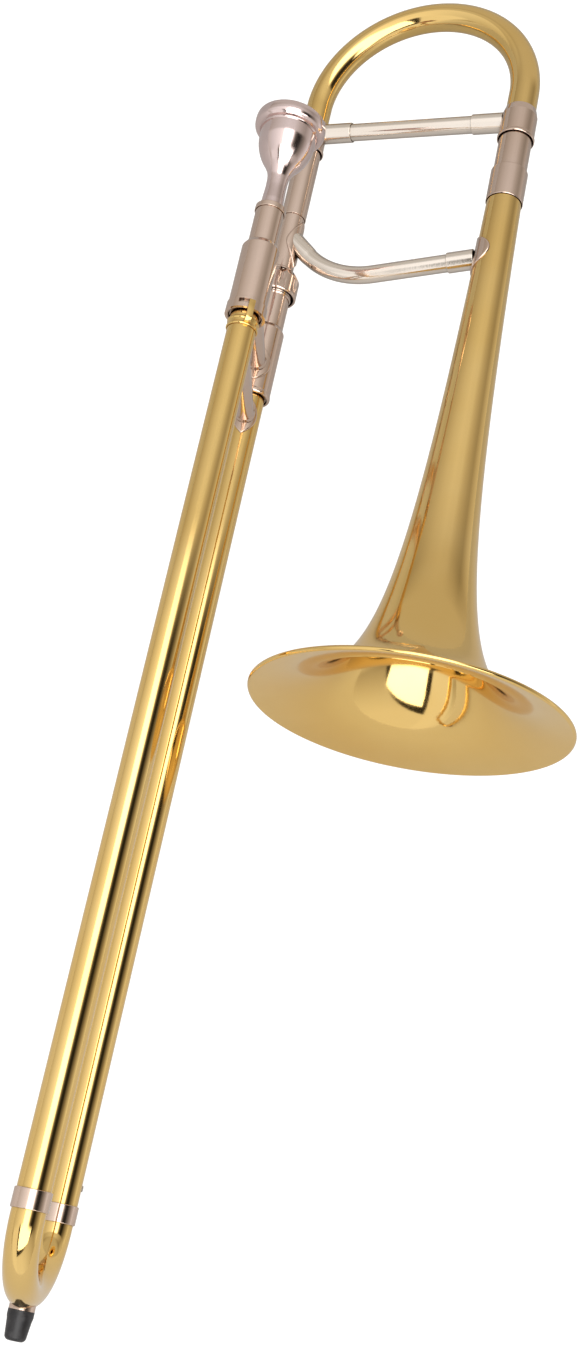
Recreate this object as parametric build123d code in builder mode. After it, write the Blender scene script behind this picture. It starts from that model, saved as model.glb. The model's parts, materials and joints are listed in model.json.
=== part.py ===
from build123d import *
from math import asin, cos, degrees, radians, sin
import os

# A small alto-size trombone with its tuning crook in the bell section, lying as it rests on a floor.
# Millimetres. The origin is the centre of the bell's mouth, +Y runs along the bell axis from the mouth
# towards the tuning crook, and +Z is up. Every tube runs along Y. "Neck side" is the stack of parts on
# the lower slide tube's axis, "mouth side" the stack on the upper slide tube's axis, and "bell side"
# the stack on the bell's axis. Places along Y are measured from the bell's mouth.

os.makedirs("parts", exist_ok=True)

# Driving dimensions
BELL_RADIUS = 82.5
BELL_TO_NECK = 126.25  # from the bell's axis to the neck axis
SLIDE_SPACING = 82.5  # between the axes of the two slide tubes
SLIDE_TURN = 72.0  # degrees from the bell plane round to the slide plane
NUT_RADIUS = 12.0

# Sheet and tube sizes
BELL_WALL = 0.5
FLARE_LENGTH = 9.2  # the bell's curve is a power law of this length and this exponent
FLARE_POWER = -0.6
RIM_BEAD = 1.7
RIM_WIRE = 1.15
SLIDE_BORE = 6.35
INNER_SLIDE = 6.75
STOCKING = 7.0
OUTER_BORE = 7.05
OUTER_SLIDE = 7.65
NECK_TUBE = 6.85
NECK_LEG = 6.9
NECK_CROOK = 7.45
BELL_LEG = 8.86
BELL_CROOK = 8.7
TUBE_WALL = 0.5
BRACE_TUBE = 5.0
BRACE_SOCKET = 5.75
BARREL = 10.1
BARREL_BORE = 8.75
NECK_FERRULE = 8.2
BELL_FERRULE = 10.2
TAIL_FERRULE = 10.5
NECK_OUTER = 7.4
FLANGE_SHEET = 0.8
SOLDER_GAP = 0.02
RUNNING_GAP = 0.06

# Places along Y
BELL_TAIL = 322.0
TAIL_FERRULE_START = 312.0
TAIL_FERRULE_END = 333.0
BELL_BRACE_FLANGE = 275.5
NECK_BRACE_FLANGE = 290.0
CROOK_FERRULE_START = 355.3
CROOK_FERRULE_END = 376.5
CROOK_START = 366.0
CROOK_CENTRE = 389.0
TUNING_BRACE = 369.5
NUT_START = 253.5
NUT_END = 269.0
GOOSENECK_START = 244.5
GOOSENECK_END = 312.0
NECK_STEP = 308.0
RECEIVER_END = 254.0
BARREL_START = 186.0
BARREL_END = 230.0
NECK_BARREL_END = 232.0
SLIDE_TOP = 199.0
SLIDE_END = -260.0
BOW_DEPTH = 30.0
INNER_SLIDE_END = -250.0
INNER_BRACE = 204.0
OUTER_BRACE = 171.5
MOUTHPIECE_RIM = 312.0
WATER_KEY_NIPPLE = -269.0
WATER_KEY_PIVOT = -246.0
WATER_KEY_PLATE = -230.0
WATER_KEY_TURN = -75.0  # degrees from +X, so that the key hangs just clear of the floor
LUG_TURN = 86.0  # degrees from +X, of the slide lock's lug

lean = degrees(asin((BELL_RADIUS - NUT_RADIUS) / BELL_TO_NECK))  # rim and nut both touch the floor
neck_x = -BELL_TO_NECK * cos(radians(lean))
neck_z = -BELL_TO_NECK * sin(radians(lean))


def radial_plane(turn, x=neck_x, z=neck_z):
    """Plane through a line parallel to +Y at x, z: its local x points turn degrees round from +X."""
    across = Vector(cos(radians(turn)), 0, sin(radians(turn)))
    normal = Vector(-sin(radians(turn)), 0, cos(radians(turn)))
    return Plane(Vector(x, 0, z), x_dir=across, z_dir=normal)


bell_plane = radial_plane(lean)
slide_plane = radial_plane(lean + SLIDE_TURN)
mouth_axis = slide_plane.from_local_coords((SLIDE_SPACING, 0, 0))
bumper_axis = slide_plane.from_local_coords((SLIDE_SPACING / 2, 0, 0))

neck_side = bell_plane
bell_side = radial_plane(lean, 0, 0)
mouth_side = radial_plane(lean, mouth_axis.X, mouth_axis.Z)
bumper_side = radial_plane(lean, bumper_axis.X, bumper_axis.Z)
slide_sides = (mouth_side, neck_side)
key_plane = radial_plane(WATER_KEY_TURN)
lug_plane = radial_plane(LUG_TURN, mouth_axis.X, mouth_axis.Z)


def turned(side, *outline):
    """Turns an outline of (radius, place) points about a side's axis."""
    with BuildSketch(side) as profile:
        with BuildLine():
            Polyline(*outline, close=True)
        make_face()
    return revolve(profile.sketch, axis=Axis(side.origin, side.y_dir), mode=Mode.PRIVATE)


def tube(side, bore, radius, start, end):
    """A plain tube on a side's axis, from start to end along Y."""
    return turned(side, (bore, start), (radius, start), (radius, end), (bore, end))


def rod(side, radius, start, end):
    """A solid round bar on a side's axis."""
    return tube(side, 0, radius, start, end)


def cross_tube(plane, place, bore, radius, start, end):
    """A tube along a plane's local x, at one place along Y."""
    section = Plane(plane.from_local_coords((start, place, 0)), x_dir=plane.y_dir, z_dir=plane.x_dir)
    with BuildSketch(section) as ring:
        Circle(radius)
        if bore:
            Circle(bore, mode=Mode.SUBTRACT)
    return extrude(ring.sketch, amount=end - start, dir=tuple(plane.x_dir), mode=Mode.PRIVATE)


def pointed_oval(plane, place, near, far, half_length, half_width):
    """A bar along a plane's local x with a pointed oval outline, for cutting saddle flanges."""
    section = Plane(plane.from_local_coords((near, place, 0)), x_dir=plane.y_dir, z_dir=plane.x_dir)
    with BuildSketch(section) as oval:
        with BuildLine():
            ThreePointArc((-half_length, 0), (0, half_width), (half_length, 0))
            ThreePointArc((half_length, 0), (0, -half_width), (-half_length, 0))
        make_face()
    return extrude(oval.sketch, amount=far - near, dir=tuple(plane.x_dir), mode=Mode.PRIVATE)


def bell_outside(place):
    """Outer radius of the bell at a place along Y."""
    return BELL_RADIUS * (1 + (place - RIM_BEAD) / FLARE_LENGTH) ** FLARE_POWER


def bell_slope(place):
    """Rate at which the bell's outer radius changes along Y."""
    return bell_outside(place) * FLARE_POWER / (FLARE_LENGTH + place - RIM_BEAD)


# ---------------------------------------------------------------- bell section

STEPS = 16
flare_places = [RIM_BEAD + (BELL_TAIL - RIM_BEAD) * (i / STEPS) ** 2.2 for i in range(STEPS + 1)]
outside_curve = [(bell_outside(y), y) for y in flare_places]
inside_curve = []
for place in flare_places:
    slope = bell_slope(place)
    length = (1 + slope**2) ** 0.5
    inside_curve.append((bell_outside(place) - BELL_WALL / length, place + BELL_WALL * slope / length))
bead_centre = BELL_RADIUS - RIM_BEAD

with BuildPart() as bell_flare:
    with BuildSketch(bell_side):
        with BuildLine():
            Spline(*outside_curve)
            Spline(*inside_curve)
            Line(outside_curve[0], inside_curve[0])
            Line(outside_curve[-1], inside_curve[-1])
        make_face()
        with Locations((bead_centre, RIM_BEAD)):
            Circle(RIM_BEAD)
            Circle(RIM_WIRE + SOLDER_GAP, mode=Mode.SUBTRACT)
    revolve(axis=Axis.Y)
bell_flare.part.label = "bell_flare"
export_step(bell_flare.part, "parts/bell_flare.step")

with BuildPart() as bell_rim_wire:
    with BuildSketch(bell_side):
        with Locations((bead_centre, RIM_BEAD)):
            Circle(RIM_WIRE)
    revolve(axis=Axis.Y)
bell_rim_wire.part.label = "bell_rim_wire"
export_step(bell_rim_wire.part, "parts/bell_rim_wire.step")

tail_radius = bell_outside(TAIL_FERRULE_START)
bell_outer_bore = BELL_LEG + RUNNING_GAP
bell_outer_radius = bell_outer_bore + TUBE_WALL
outer_tube_end = CROOK_FERRULE_START - 0.3

with BuildPart() as bell_tail_ferrule:
    add(tube(bell_side, tail_radius + SOLDER_GAP, TAIL_FERRULE, TAIL_FERRULE_START, TAIL_FERRULE_END))
    fillet(bell_tail_ferrule.edges().filter_by(GeomType.CIRCLE).group_by(SortBy.RADIUS)[-1], 0.25)
bell_tail_ferrule.part.label = "bell_tail_ferrule"
export_step(bell_tail_ferrule.part, "parts/bell_tail_ferrule.step")

with BuildPart() as tuning_outer_tube_bell:
    add(tube(bell_side, bell_outer_bore, bell_outer_radius, BELL_TAIL + 0.5, outer_tube_end))
tuning_outer_tube_bell.part.label = "tuning_outer_tube_bell"
export_step(tuning_outer_tube_bell.part, "parts/tuning_outer_tube_bell.step")

neck_outer_bore = NECK_LEG + RUNNING_GAP

with BuildPart() as tuning_outer_tube_neck:
    add(tube(neck_side, neck_outer_bore, NECK_OUTER, NECK_STEP, outer_tube_end))
tuning_outer_tube_neck.part.label = "tuning_outer_tube_neck"
export_step(tuning_outer_tube_neck.part, "parts/tuning_outer_tube_neck.step")

with BuildPart() as gooseneck:
    add(tube(neck_side, SLIDE_BORE, NECK_TUBE, GOOSENECK_START, GOOSENECK_END))
gooseneck.part.label = "gooseneck"
export_step(gooseneck.part, "parts/gooseneck.step")

# The collar is a tapered plug, a flange that the nut pulls down, and a short sleeve above it.
COLLAR_PLUG = 7.3
COLLAR_TAPER = 0.1
COLLAR_FLANGE = 9.2
COLLAR_SLEEVE = 8.0
flange_start = NUT_START + 6.5
flange_end = flange_start + 3

with BuildPart() as gooseneck_collar:
    add(
        turned(
            neck_side,
            (NECK_TUBE + SOLDER_GAP, GOOSENECK_START),
            (COLLAR_PLUG - COLLAR_TAPER, GOOSENECK_START),
            (COLLAR_PLUG, flange_start),
            (COLLAR_FLANGE, flange_start),
            (COLLAR_FLANGE, flange_end),
            (COLLAR_SLEEVE, flange_end),
            (COLLAR_SLEEVE, NUT_END + 2),
            (NECK_TUBE + SOLDER_GAP, NUT_END + 3),
        )
    )
gooseneck_collar.part.label = "gooseneck_collar"
export_step(gooseneck_collar.part, "parts/gooseneck_collar.step")

# The lower brace leaves the gooseneck at 45 degrees downwards and bends to run across to the bell.
brace_at_neck = (4.5, 292.5)
brace_corner = (32.5, 264.5)
brace_at_bell = (112.0, 275.0)
BRACE_BEND = 50.0
neck_flange_radius = NECK_TUBE + 0.95

with BuildPart() as bell_brace_tube:
    with BuildLine(bell_plane) as brace_line:
        FilletPolyline(brace_at_neck, brace_corner, brace_at_bell, radius=BRACE_BEND)
    with BuildSketch(Plane(brace_line.line @ 0, z_dir=brace_line.line % 0)):
        Circle(BRACE_TUBE)
        Circle(BRACE_TUBE - TUBE_WALL, mode=Mode.SUBTRACT)
    sweep(path=brace_line.line)
    add(rod(neck_side, neck_flange_radius + 0.03, NUT_END - 9, NECK_STEP + 12), mode=Mode.SUBTRACT)
bell_brace_tube.part.label = "bell_brace_tube"
export_step(bell_brace_tube.part, "parts/bell_brace_tube.step")

brace_run = Vector(*brace_at_bell) - Vector(*brace_corner)
brace_end_direction = brace_run.normalized()
BELL_SOCKET = 12.0
socket_start = Vector(*brace_at_bell) - brace_end_direction * BELL_SOCKET
cutter_places = [TAIL_FERRULE_START - 2 - 18 * i for i in range(5)]
bell_cutter = [(bell_outside(y) + SOLDER_GAP, y) for y in reversed(cutter_places)]
flange_cutter = [(radius + FLANGE_SHEET, y) for radius, y in bell_cutter]

with BuildPart() as bell_brace_socket:
    socket_plane = Plane(
        bell_plane.from_local_coords((socket_start.X, socket_start.Y, 0)),
        z_dir=bell_plane.x_dir * brace_end_direction.X + bell_plane.y_dir * brace_end_direction.Y,
    )
    with BuildSketch(socket_plane):
        Circle(BRACE_SOCKET)
        Circle(BRACE_TUBE + SOLDER_GAP, mode=Mode.SUBTRACT)
    extrude(amount=BELL_SOCKET + 8)
    add(turned(bell_side, (0, cutter_places[-1]), *flange_cutter, (0, cutter_places[0])), mode=Mode.SUBTRACT)
bell_brace_socket.part.label = "bell_brace_socket"
export_step(bell_brace_socket.part, "parts/bell_brace_socket.step")

FLANGE_HALF_LENGTH = 11.0
FLANGE_HALF_WIDTH = 10.5
FLANGE_REACH = 20.0  # from outside the bell's tube in to its axis

with BuildPart() as bell_brace_flange_bell:
    add(turned(bell_side, *bell_cutter, *reversed(flange_cutter)))
    flange_centre = bell_plane.from_local_coords((BELL_TO_NECK - FLANGE_REACH, BELL_BRACE_FLANGE, 0))
    with BuildSketch(Plane(flange_centre, x_dir=bell_plane.y_dir, z_dir=bell_plane.x_dir)):
        Ellipse(FLANGE_HALF_LENGTH, FLANGE_HALF_WIDTH)
    extrude(amount=FLANGE_REACH, mode=Mode.INTERSECT)
bell_brace_flange_bell.part.label = "bell_brace_flange_bell"
export_step(bell_brace_flange_bell.part, "parts/bell_brace_flange_bell.step")

with BuildPart() as bell_brace_flange_neck:
    add(tube(neck_side, NECK_TUBE + SOLDER_GAP, neck_flange_radius, NUT_END + 4, NECK_STEP - 0.5))
    add(pointed_oval(bell_plane, NECK_BRACE_FLANGE, 2, 12, 16, 6.6), mode=Mode.INTERSECT)
bell_brace_flange_neck.part.label = "bell_brace_flange_neck"
export_step(bell_brace_flange_neck.part, "parts/bell_brace_flange_neck.step")

# ---------------------------------------------------------------- bell lock nut

THREAD = 9.3
NUT_FLUTES = 8
NUT_FLUTE = 3.2

with BuildPart() as bell_lock_nut:
    add(
        turned(
            neck_side,
            (THREAD + RUNNING_GAP, NUT_START),
            (NUT_RADIUS - 1, NUT_START),
            (NUT_RADIUS, NUT_START + 1.5),
            (NUT_RADIUS, NUT_END - 4),
            (NUT_RADIUS - 2.5, NUT_END),
            (COLLAR_SLEEVE + RUNNING_GAP, NUT_END),
            (COLLAR_SLEEVE + RUNNING_GAP, flange_end + RUNNING_GAP),
            (THREAD + RUNNING_GAP, flange_end + RUNNING_GAP),
        )
    )
    nut_end_plane = Plane(neck_side.origin + (0, NUT_START + 2.5, 0), x_dir=neck_side.x_dir, z_dir=(0, 1, 0))
    with BuildSketch(nut_end_plane):
        with PolarLocations(NUT_RADIUS + NUT_FLUTE - 0.8, NUT_FLUTES):
            Circle(NUT_FLUTE)
    extrude(amount=NUT_END - NUT_START, mode=Mode.SUBTRACT)
bell_lock_nut.part.label = "bell_lock_nut"
export_step(bell_lock_nut.part, "parts/bell_lock_nut.step")

# ---------------------------------------------------------------- tuning slide

crook_radius = BELL_TO_NECK / 2

with BuildPart() as tuning_crook:
    with BuildLine(bell_plane) as crook_line:
        Line((BELL_TO_NECK, CROOK_START), (BELL_TO_NECK, CROOK_CENTRE))
        CenterArc((crook_radius, CROOK_CENTRE), crook_radius, 0, 180)
        Line((0, CROOK_CENTRE), (0, CROOK_START))
    bell_end = Plane(crook_line.wire() @ 0, z_dir=crook_line.wire() % 0)
    neck_end = Plane(crook_line.wire() @ 1, z_dir=crook_line.wire() % 1)
    for wall, mode in ((0, Mode.ADD), (TUBE_WALL, Mode.SUBTRACT)):
        with BuildSketch(bell_end) as wide_end:
            Circle(BELL_CROOK - wall)
        with BuildSketch(neck_end) as narrow_end:
            Circle(NECK_CROOK - wall)
        sweep(
            [wide_end.sketch, narrow_end.sketch],
            path=crook_line.wire(),
            multisection=True,
            mode=mode,
        )
tuning_crook.part.label = "tuning_crook"
export_step(tuning_crook.part, "parts/tuning_crook.step")

# name, side, leg radius, crook tube radius and outer radius of each leg of the tuning slide
tuning_legs = (
    ("neck", neck_side, NECK_LEG, NECK_CROOK, NECK_FERRULE),
    ("bell", bell_side, BELL_LEG, BELL_CROOK, BELL_FERRULE),
)
BEAD = 0.5

for name, side, leg, crook, ferrule in tuning_legs:
    with BuildPart() as tuning_inner_leg:
        add(tube(side, leg - TUBE_WALL, leg, NECK_STEP + 19, CROOK_START - 0.3))
    tuning_inner_leg.part.label = f"tuning_inner_leg_{name}"
    export_step(tuning_inner_leg.part, f"parts/tuning_inner_leg_{name}.step")

    with BuildPart() as crook_ferrule:
        add(
            turned(
                side,
                (leg + SOLDER_GAP, CROOK_FERRULE_START),
                (ferrule + BEAD, CROOK_FERRULE_START),
                (ferrule + BEAD, CROOK_FERRULE_START + 1.6),
                (ferrule, CROOK_FERRULE_START + 2.2),
                (ferrule, CROOK_FERRULE_END - 4.5),
                (crook + 0.4, CROOK_FERRULE_END),
                (crook + 0.1, CROOK_FERRULE_END),
                (crook + 0.1, CROOK_START - 0.2),
                (leg + SOLDER_GAP, CROOK_START - 0.2),
            )
        )
    crook_ferrule.part.label = f"crook_ferrule_{name}"
    export_step(crook_ferrule.part, f"parts/crook_ferrule_{name}.step")

brace_socket_length = 17.0
brace_neck_end = NECK_FERRULE
brace_bell_end = BELL_TO_NECK - BELL_FERRULE

with BuildPart() as tuning_brace_tube:
    add(
        cross_tube(
            bell_plane,
            TUNING_BRACE,
            BRACE_TUBE - TUBE_WALL,
            BRACE_TUBE,
            brace_neck_end + 2,
            brace_bell_end - 2,
        )
    )
tuning_brace_tube.part.label = "tuning_brace_tube"
export_step(tuning_brace_tube.part, "parts/tuning_brace_tube.step")

with BuildPart() as tuning_brace_sockets:
    socket_bore = BRACE_TUBE + SOLDER_GAP
    neck_socket_end = brace_neck_end + brace_socket_length
    add(cross_tube(bell_plane, TUNING_BRACE, socket_bore, BRACE_SOCKET, 0, neck_socket_end))
    add(
        cross_tube(
            bell_plane,
            TUNING_BRACE,
            socket_bore,
            BRACE_SOCKET,
            brace_bell_end - brace_socket_length,
            BELL_TO_NECK,
        )
    )
    for _, side, _, _, ferrule in tuning_legs:
        add(rod(side, ferrule + SOLDER_GAP, CROOK_FERRULE_START, CROOK_FERRULE_END + 5), mode=Mode.SUBTRACT)
tuning_brace_sockets.part.label = "tuning_brace_sockets"
export_step(tuning_brace_sockets.part, "parts/tuning_brace_sockets.step")

# ---------------------------------------------------------------- inner slide

RECEIVER = 7.65
RECEIVER_PLUG = 7.0
SHANK_BOTTOM = 234.0
SHANK_RADIUS = 5.45
SHANK_TAPER = 0.023
LOCK_RING_BORE = 9.4
LOCK_RING_END = 192.0
BARREL_FLOOR = 214.0
plug_start = BARREL_END - 8


def shank_radius(place):
    """Outer radius of the mouthpiece's tapered shank."""
    return SHANK_RADIUS + SHANK_TAPER * (place - SHANK_BOTTOM)


with BuildPart() as mouthpiece_receiver:
    add(
        turned(
            mouth_side,
            (SLIDE_BORE, plug_start + 0.1),
            (RECEIVER_PLUG, plug_start + 0.1),
            (RECEIVER_PLUG, BARREL_END + SOLDER_GAP),
            (RECEIVER, BARREL_END + SOLDER_GAP),
            (RECEIVER, RECEIVER_END),
            (shank_radius(RECEIVER_END) + RUNNING_GAP, RECEIVER_END),
            (shank_radius(SHANK_BOTTOM) + RUNNING_GAP, SHANK_BOTTOM),
            (SLIDE_BORE, SHANK_BOTTOM - 0.5),
        )
    )
mouthpiece_receiver.part.label = "mouthpiece_receiver"
export_step(mouthpiece_receiver.part, "parts/mouthpiece_receiver.step")

with BuildPart() as receiver_lip:
    add(tube(mouth_side, RECEIVER + SOLDER_GAP, RECEIVER + 0.6, RECEIVER_END - 3, RECEIVER_END))
    fillet(receiver_lip.edges().filter_by(GeomType.CIRCLE).group_by(SortBy.RADIUS)[-1], 0.4)
receiver_lip.part.label = "receiver_lip"
export_step(receiver_lip.part, "parts/receiver_lip.step")

LEADPIPE_END = 40.0

with BuildPart() as leadpipe:
    add(
        turned(
            mouth_side,
            (SLIDE_BORE - 0.4, LEADPIPE_END),
            (SLIDE_BORE - 0.05, LEADPIPE_END),
            (SLIDE_BORE - 0.05, SHANK_BOTTOM - 0.6),
            (SLIDE_BORE - 1.0, SHANK_BOTTOM - 0.6),
            (SLIDE_BORE - 1.3, SHANK_BOTTOM - 30),
        )
    )
leadpipe.part.label = "leadpipe"
export_step(leadpipe.part, "parts/leadpipe.step")

with BuildPart() as inner_slide_tube_upper:
    add(tube(mouth_side, SLIDE_BORE, INNER_SLIDE, INNER_SLIDE_END, plug_start))
inner_slide_tube_upper.part.label = "inner_slide_tube_upper"
export_step(inner_slide_tube_upper.part, "parts/inner_slide_tube_upper.step")

with BuildPart() as inner_slide_tube_lower:
    add(tube(neck_side, SLIDE_BORE, INNER_SLIDE, INNER_SLIDE_END, NECK_BARREL_END))
inner_slide_tube_lower.part.label = "inner_slide_tube_lower"
export_step(inner_slide_tube_lower.part, "parts/inner_slide_tube_lower.step")

STOCKING_LENGTH = 120.0
stocking_top = INNER_SLIDE_END + STOCKING_LENGTH

with BuildPart() as slide_stockings:
    for side in slide_sides:
        add(tube(side, INNER_SLIDE + SOLDER_GAP, STOCKING, INNER_SLIDE_END, stocking_top))
slide_stockings.part.label = "slide_stockings"
export_step(slide_stockings.part, "parts/slide_stockings.step")

with BuildPart() as cork_barrel_upper:
    add(
        turned(
            mouth_side,
            (BARREL_BORE, BARREL_START),
            (LOCK_RING_BORE - RUNNING_GAP, BARREL_START),
            (LOCK_RING_BORE - RUNNING_GAP, LOCK_RING_END + RUNNING_GAP),
            (BARREL, LOCK_RING_END + RUNNING_GAP),
            (BARREL, BARREL_END - 2.5),
            (BARREL - 1.6, BARREL_END),
            (RECEIVER_PLUG + SOLDER_GAP, BARREL_END),
            (RECEIVER_PLUG + SOLDER_GAP, plug_start + 0.1),
            (INNER_SLIDE + SOLDER_GAP, plug_start + 0.1),
            (INNER_SLIDE + SOLDER_GAP, BARREL_FLOOR),
            (BARREL_BORE, BARREL_FLOOR),
        )
    )
cork_barrel_upper.part.label = "cork_barrel_upper"
export_step(cork_barrel_upper.part, "parts/cork_barrel_upper.step")

with BuildPart() as cork_barrel_lower:
    add(
        turned(
            neck_side,
            (BARREL_BORE, BARREL_START),
            (BARREL - 0.2, BARREL_START),
            (BARREL + 0.3, BARREL_START + 0.8),
            (BARREL + 0.3, BARREL_START + 2.4),
            (BARREL, BARREL_START + 3),
            (BARREL, NECK_BARREL_END - 2.5),
            (BARREL - 1.4, NECK_BARREL_END),
            (INNER_SLIDE + SOLDER_GAP, NECK_BARREL_END),
            (INNER_SLIDE + SOLDER_GAP, BARREL_FLOOR),
            (BARREL_BORE, BARREL_FLOOR),
        )
    )
cork_barrel_lower.part.label = "cork_barrel_lower"
export_step(cork_barrel_lower.part, "parts/cork_barrel_lower.step")

cork_start = SLIDE_TOP + 0.4

with BuildPart() as barrel_corks:
    for side in slide_sides:
        add(tube(side, INNER_SLIDE + SOLDER_GAP, BARREL_BORE - SOLDER_GAP, cork_start, BARREL_FLOOR - 0.05))
barrel_corks.part.label = "barrel_corks"
export_step(barrel_corks.part, "parts/barrel_corks.step")

BELL_RECEIVER = 8.7

with BuildPart() as bell_receiver:
    add(
        turned(
            neck_side,
            (SLIDE_BORE, NECK_BARREL_END + SOLDER_GAP),
            (BELL_RECEIVER, NECK_BARREL_END + SOLDER_GAP),
            (BELL_RECEIVER, NUT_START - 1.5),
            (THREAD, NUT_START - 1),
            (THREAD, flange_start - RUNNING_GAP),
            (COLLAR_PLUG + RUNNING_GAP, flange_start - RUNNING_GAP),
            (COLLAR_PLUG + RUNNING_GAP - COLLAR_TAPER, GOOSENECK_START - 0.5),
            (SLIDE_BORE, GOOSENECK_START - 0.5),
        )
    )
bell_receiver.part.label = "bell_receiver"
export_step(bell_receiver.part, "parts/bell_receiver.step")

brace_clear = BARREL + FLANGE_SHEET
BRACE_FLANGE_HALF = 11.0

with BuildPart() as inner_brace_tube:
    add(
        cross_tube(
            slide_plane,
            INNER_BRACE,
            BRACE_TUBE - TUBE_WALL,
            BRACE_TUBE,
            brace_clear,
            SLIDE_SPACING - brace_clear,
        )
    )
inner_brace_tube.part.label = "inner_brace_tube"
export_step(inner_brace_tube.part, "parts/inner_brace_tube.step")

with BuildPart() as inner_brace_flanges:
    for side in slide_sides:
        flange_start_place = INNER_BRACE - BRACE_FLANGE_HALF
        flange_end_place = INNER_BRACE + BRACE_FLANGE_HALF
        add(tube(side, BARREL + SOLDER_GAP, brace_clear, flange_start_place, flange_end_place))
    add(pointed_oval(slide_plane, INNER_BRACE, 0, SLIDE_SPACING, BRACE_FLANGE_HALF, 7.5), mode=Mode.INTERSECT)
inner_brace_flanges.part.label = "inner_brace_flanges"
export_step(inner_brace_flanges.part, "parts/inner_brace_flanges.step")

# ---------------------------------------------------------------- outer slide

OUTER_FLANGE = OUTER_SLIDE + FLANGE_SHEET
LUG_RING_START = 177.5
LUG_RING_END = 182.5

for name, side in (("upper", mouth_side), ("lower", neck_side)):
    with BuildPart() as outer_slide_tube:
        add(tube(side, OUTER_BORE, OUTER_SLIDE, SLIDE_END, SLIDE_TOP))
    outer_slide_tube.part.label = f"outer_slide_tube_{name}"
    export_step(outer_slide_tube.part, f"parts/outer_slide_tube_{name}.step")

with BuildPart() as outer_top_sleeves:
    for side in slide_sides:
        add(tube(side, OUTER_SLIDE + SOLDER_GAP, BARREL_BORE - 0.4, BARREL_START + 1, SLIDE_TOP))
outer_top_sleeves.part.label = "outer_top_sleeves"
export_step(outer_top_sleeves.part, "parts/outer_top_sleeves.step")

# The lug's arm passes outside the lock ring, and its tooth points inwards into the ring's slot.
LOCK_RING = 10.7
LUG_REACH = 11.9
TOOTH_START = 188.8
TOOTH_END = 190.6
LUG_WIDTH = 3.4
LUG_RING = 8.4
LUG_FOOT = 8.0
TOOTH_WIDTH = 2.4

with BuildPart() as lock_lug_ring:
    add(tube(mouth_side, OUTER_SLIDE + SOLDER_GAP, LUG_RING, LUG_RING_START, LUG_RING_END))
    with BuildSketch(lug_plane):
        with BuildLine():
            Polyline(
                (LUG_FOOT, LUG_RING_START + 0.5),
                (LUG_REACH - 1.5, LUG_RING_START + 0.5),
                (LUG_REACH, LUG_RING_START + 2.5),
                (LUG_REACH, TOOTH_END),
                (LOCK_RING + RUNNING_GAP, TOOTH_END),
                (LOCK_RING + RUNNING_GAP, LUG_RING_END + 1),
                (LUG_FOOT, LUG_RING_END),
                close=True,
            )
        make_face()
    extrude(amount=LUG_WIDTH / 2, both=True)
    with BuildSketch(lug_plane):
        with Locations(((LOCK_RING_BORE + 0.2 + LUG_REACH) / 2, (TOOTH_START + TOOTH_END) / 2)):
            Rectangle(LUG_REACH - LOCK_RING_BORE - 0.2, TOOTH_END - TOOTH_START)
    extrude(amount=TOOTH_WIDTH / 2, both=True)
lock_lug_ring.part.label = "lock_lug_ring"
export_step(lock_lug_ring.part, "parts/lock_lug_ring.step")

OUTER_FLANGE_HALF = 12.0

with BuildPart() as outer_brace_tube:
    add(
        cross_tube(
            slide_plane,
            OUTER_BRACE,
            BRACE_TUBE - TUBE_WALL,
            BRACE_TUBE,
            OUTER_FLANGE,
            SLIDE_SPACING - OUTER_FLANGE,
        )
    )
outer_brace_tube.part.label = "outer_brace_tube"
export_step(outer_brace_tube.part, "parts/outer_brace_tube.step")

with BuildPart() as outer_brace_flanges:
    for side in slide_sides:
        flange_start_place = OUTER_BRACE - OUTER_FLANGE_HALF
        flange_end_place = OUTER_BRACE + OUTER_FLANGE_HALF
        add(tube(side, OUTER_SLIDE + SOLDER_GAP, OUTER_FLANGE, flange_start_place, flange_end_place))
    add(pointed_oval(slide_plane, OUTER_BRACE, 0, SLIDE_SPACING, OUTER_FLANGE_HALF, 6.2), mode=Mode.INTERSECT)
    add(rod(mouth_side, LOCK_RING, LUG_RING_START - 0.1, BARREL_START), mode=Mode.SUBTRACT)
outer_brace_flanges.part.label = "outer_brace_flanges"
export_step(outer_brace_flanges.part, "parts/outer_brace_flanges.step")

FERRULE = 8.45
FERRULE_OVER_BOW = 3.6
FERRULE_OVER_TUBE = 5.0

with BuildPart() as bow_ferrules:
    ferrule_start = SLIDE_END - FERRULE_OVER_BOW
    ferrule_end = SLIDE_END + FERRULE_OVER_TUBE
    for side in slide_sides:
        add(tube(side, OUTER_SLIDE + SOLDER_GAP, FERRULE, ferrule_start, ferrule_end))
    fillet(bow_ferrules.edges().filter_by(GeomType.CIRCLE).group_by(SortBy.RADIUS)[-1], 0.3)
bow_ferrules.part.label = "bow_ferrules"
export_step(bow_ferrules.part, "parts/bow_ferrules.step")

BOW_START = SLIDE_END - 0.1
BOW_BEND = SLIDE_END - 5.5

with BuildPart(mode=Mode.PRIVATE) as bow_outside:
    with BuildLine(slide_plane) as bow_line:
        Line((0, BOW_START), (0, BOW_BEND))
        EllipticalCenterArc((SLIDE_SPACING / 2, BOW_BEND), SLIDE_SPACING / 2, BOW_DEPTH, 180, arc_size=180)
        Line((SLIDE_SPACING, BOW_BEND), (SLIDE_SPACING, BOW_START))
    bow_end = Plane(bow_line.wire() @ 0, z_dir=bow_line.wire() % 0)
    with BuildSketch(bow_end):
        Circle(OUTER_SLIDE)
    sweep(path=bow_line.wire())

WATER_KEY_VENT = 1.8

with BuildPart() as slide_bow:
    with BuildSketch(bow_end):
        Circle(OUTER_SLIDE)
        Circle(OUTER_BORE, mode=Mode.SUBTRACT)
    sweep(path=bow_line.wire())
    add(cross_tube(key_plane, WATER_KEY_NIPPLE, 0, WATER_KEY_VENT, 3, 12), mode=Mode.SUBTRACT)
slide_bow.part.label = "slide_bow"
export_step(slide_bow.part, "parts/slide_bow.step")

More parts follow.
